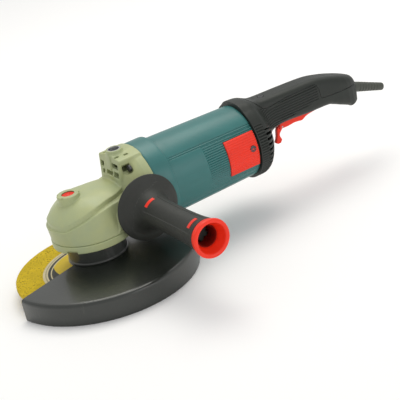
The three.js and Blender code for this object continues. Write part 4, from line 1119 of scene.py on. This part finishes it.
class BuildClampBand(bpy.types.Operator):
    """Clamp band of the guard, with its ears and screw"""
    bl_idname = "grinder.build_clamp_band"
    bl_label = "Guard Clamp Band"

    BOLT_AT = (0, -45.5, 32.5)

    def execute(self, context):
        b = Block((-42, -54, 18), (42, 42, 47), 0.6)
        radius = np.hypot(b.x, b.y)
        bore = BAND_BORE_R - radius
        band = trim(trim(radius - 39, bore, 0.4), slab(b.z, 20.8, 44.4), 0.8)
        band = join(band, trim(trim(radius - 39.9, bore), slab(b.z, 20.8, 22.6), 0.8), 0.8)
        ears = trim(trim(slab(np.abs(b.x), 2.2, 12), slab(b.y, -52, -36), 1.5), slab(b.z, 25, 40), 1.5)
        band = join(band, trim(ears, bore), 1.5)
        band = cut(band, b.box(-2.2, 2.2, -60, -30, 0, 60))
        band = cut(band, b.rod("x", 3, self.BOLT_AT[1:], -20, 20))
        band = b.piece("guard_band", band)
        settle(band, "guard_body", "guard_paint", "guard_paint", "guard_clamp_band")
        screw("guard_bolt", "x", self.BOLT_AT, (12.4, 16.6), 4.6, "guard_body", "steel", "guard_clamp_screw")
        shank = turned("guard_bolt_shank", "x", self.BOLT_AT, [
            (0, -18), (2.4, -18), (2.7, -17.4), (2.7, 12.6), (0, 12.6)], 0.3, 32)
        settle(shank, "guard_body", "steel", "steel")
        nut = turned("guard_bolt_nut", "x", self.BOLT_AT, [
            (2.8, -16.5), (5.0, -16.5), (5.0, -12.3), (2.8, -12.3)], 0.3, 72, True, self.hexagon)
        settle(nut, "guard_body", "steel", "steel")
        return {"FINISHED"}

    @staticmethod
    def hexagon(radius, height, turn):
        """Gives the outside of a ring six flats."""
        flat = radius / np.cos((turn + np.pi / 6) % (np.pi / 3) - np.pi / 6) * 0.87
        return np.where(radius > 3.5, flat, radius)


class BuildDisc(bpy.types.Operator):
    """Depressed-centre grinding disc"""
    bl_idname = "grinder.build_disc"
    bl_label = "Grinding Disc"

    def execute(self, context):
        disc = turned("grinding_wheel", "z", (0, 0, 0), [
            (11.2, 5), (26, 5), (28, 4.5), (35, -0.6), (38, -1), (113.8, -1), (115, 0), (114.8, 4.2),
            (114, 5), (38, 5), (35, 5.5), (28, 10.4), (26, 11), (11.2, 11)], 0.8, 192, True, self.grain)
        settle(disc, "spindle_body", "abrasive", "abrasive", "grinding_disc")
        return {"FINISHED"}

    @staticmethod
    def grain(radius, height, turn):
        """Leaves the outer edge slightly uneven, as a pressed wheel's is."""
        wobble = 0.12 * np.sin(37 * turn + 1.3) + 0.1 * np.sin(83 * turn) + 0.08 * np.sin(151 * turn + 2.0)
        return np.where(radius > 112, radius - 0.3 + wobble, radius)


class BuildSpindleParts(bpy.types.Operator):
    """Threaded spindle, inner flange and clamping nut"""
    bl_idname = "grinder.build_spindle_parts"
    bl_label = "Spindle, Flange and Nut"

    def execute(self, context):
        pitch = context.scene.grinder_sizes.thread_pitch / MILLIMETRE
        nose = [(7, h) for h in np.arange(1.2, 19, 0.33)]
        profile = [(0, 0), (5.6, 0), (6.4, 0.8), *nose, (7, 19.3), (11, 19.3), (11, 29.4), (8.5, 29.4),
                   (8.5, 70), (6, 74), (6, 97.5), (0, 97.5)]

        def thread(radius, height, turn):
            wave = np.abs((height / pitch - turn / (2 * np.pi)) % 1 - 0.5) * 2
            on = (height > 1) & (height < 19.1) & (radius > 6.8) & (radius < 7.3)
            return np.where(on, radius - 0.75 * wave, radius)

        spindle = turned("spindle_shaft", "z", (0, 0, 0), profile, 0.15, 72, False, thread)
        settle(spindle, "spindle_body", "steel", "steel", "spindle")
        flange = turned("inner_flange_ring", "z", (0, 0, 0), [
            (7.3, 8), (10.9, 8), (10.9, 11.3), (21, 11.3), (21, 16.3), (16, 18.8), (7.3, 18.8)],
            0.5, 96, True)
        settle(flange, "spindle_body", "steel", "steel", "inner_flange")
        b = Block((-22, -22, -1), (22, 22, 9), 0.45)
        radius = np.hypot(b.x, b.y)
        nut = join(trim(radius - 20, slab(b.z, 0.4, 4.7), 1.0), trim(radius - 10.9, slab(b.z, 1, 7.5), 0.5))
        nut = cut(nut, radius - 7.3, 0.4)
        for spot in ((15, 0), (-15, 0), (0, 15), (0, -15)):
            nut = cut(nut, b.rod("z", 2.6, spot, -3, 3.4), 0.3)
        nut = cut(nut, trim(np.abs(radius - 11.4) - 0.6, b.z - 1.0), 0.3)
        nut = b.piece("clamping_nut_ring", nut)
        settle(nut, "spindle_body", "steel", "steel", "clamping_nut")
        return {"FINISHED"}


INNER_FINISHES = {
    "steel": ["lower_bearing", "upper_bearing", "front_motor_bearing", "rear_motor_bearing", "armature_shaft",
              "lock_pin", "lock_spring", "side_handle_stud", "trigger_pin", "lock_off_pin"],
    "dark_steel": ["crown_gear", "pinion_gear", "cable_clamp"],
    "copper": ["field_coil_upper", "field_coil_lower", "armature_winding", "commutator"],
    "laminations": ["stator_core", "armature_core"],
    "carbon": ["carbon_brush_left", "carbon_brush_right"],
    "brass": ["brush_holder_left", "brush_holder_right"],
    "white_plastic": ["switch_unit", "suppression_capacitor"],
    "red_plastic": ["switch_plunger"],
    "black_plastic": ["cooling_fan", "air_baffle"],
}


class FinishInnerParts(bpy.types.Operator):
    """Finishes for the motor, gears, bearings and switch inside"""
    bl_idname = "grinder.finish_inner_parts"
    bl_label = "Inner Parts"

    def execute(self, context):
        for look, names in INNER_FINISHES.items():
            for name in names:
                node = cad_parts[name]
                for material_slot in node.material_slots:
                    material_slot.material = finish(look)
        return {"FINISHED"}


OPERATORS = (
    BuildStage, BuildGearHousing, BuildBearingFlange, BuildHeadScrews, BuildSpindleLock, BuildSideHandle,
    BuildMotorHousing, BuildBrushCovers, BuildRearHandle, BuildTrigger, BuildCableSleeve, BuildGuard,
    BuildClampBand, BuildDisc, BuildSpindleParts, FinishInnerParts,
)


class GrinderPanel(bpy.types.Panel):
    """Lists the grinder's settings and the pieces that can be built"""
    bl_idname = "VIEW3D_PT_grinder"
    bl_label = "Angle Grinder"
    bl_space_type = "VIEW_3D"
    bl_region_type = "UI"
    bl_category = "Grinder"

    def draw(self, context):
        column = self.layout.column()
        scene = context.scene
        for group in (scene.grinder_finishes, scene.grinder_sizes, scene.grinder_studio):
            for name in group.__annotations__:
                column.prop(group, name)
        for operator in OPERATORS:
            column.operator(operator.bl_idname)


CLASSES = (GrinderFinishes, GrinderSizes, GrinderStudio, *OPERATORS, GrinderPanel)


def register():
    for item in CLASSES:
        bpy.utils.register_class(item)
    bpy.types.Scene.grinder_finishes = PointerProperty(type=GrinderFinishes)
    bpy.types.Scene.grinder_sizes = PointerProperty(type=GrinderSizes)
    bpy.types.Scene.grinder_studio = PointerProperty(type=GrinderStudio)


def unregister():
    for name in ("grinder_studio", "grinder_sizes", "grinder_finishes"):
        delattr(bpy.types.Scene, name)
    for item in reversed(CLASSES):
        bpy.utils.unregister_class(item)


def main():
    register()
    for operator in OPERATORS:
        group, name = operator.bl_idname.split(".")
        getattr(getattr(bpy.ops, group), name)()


if __name__ == "__main__":
    main()
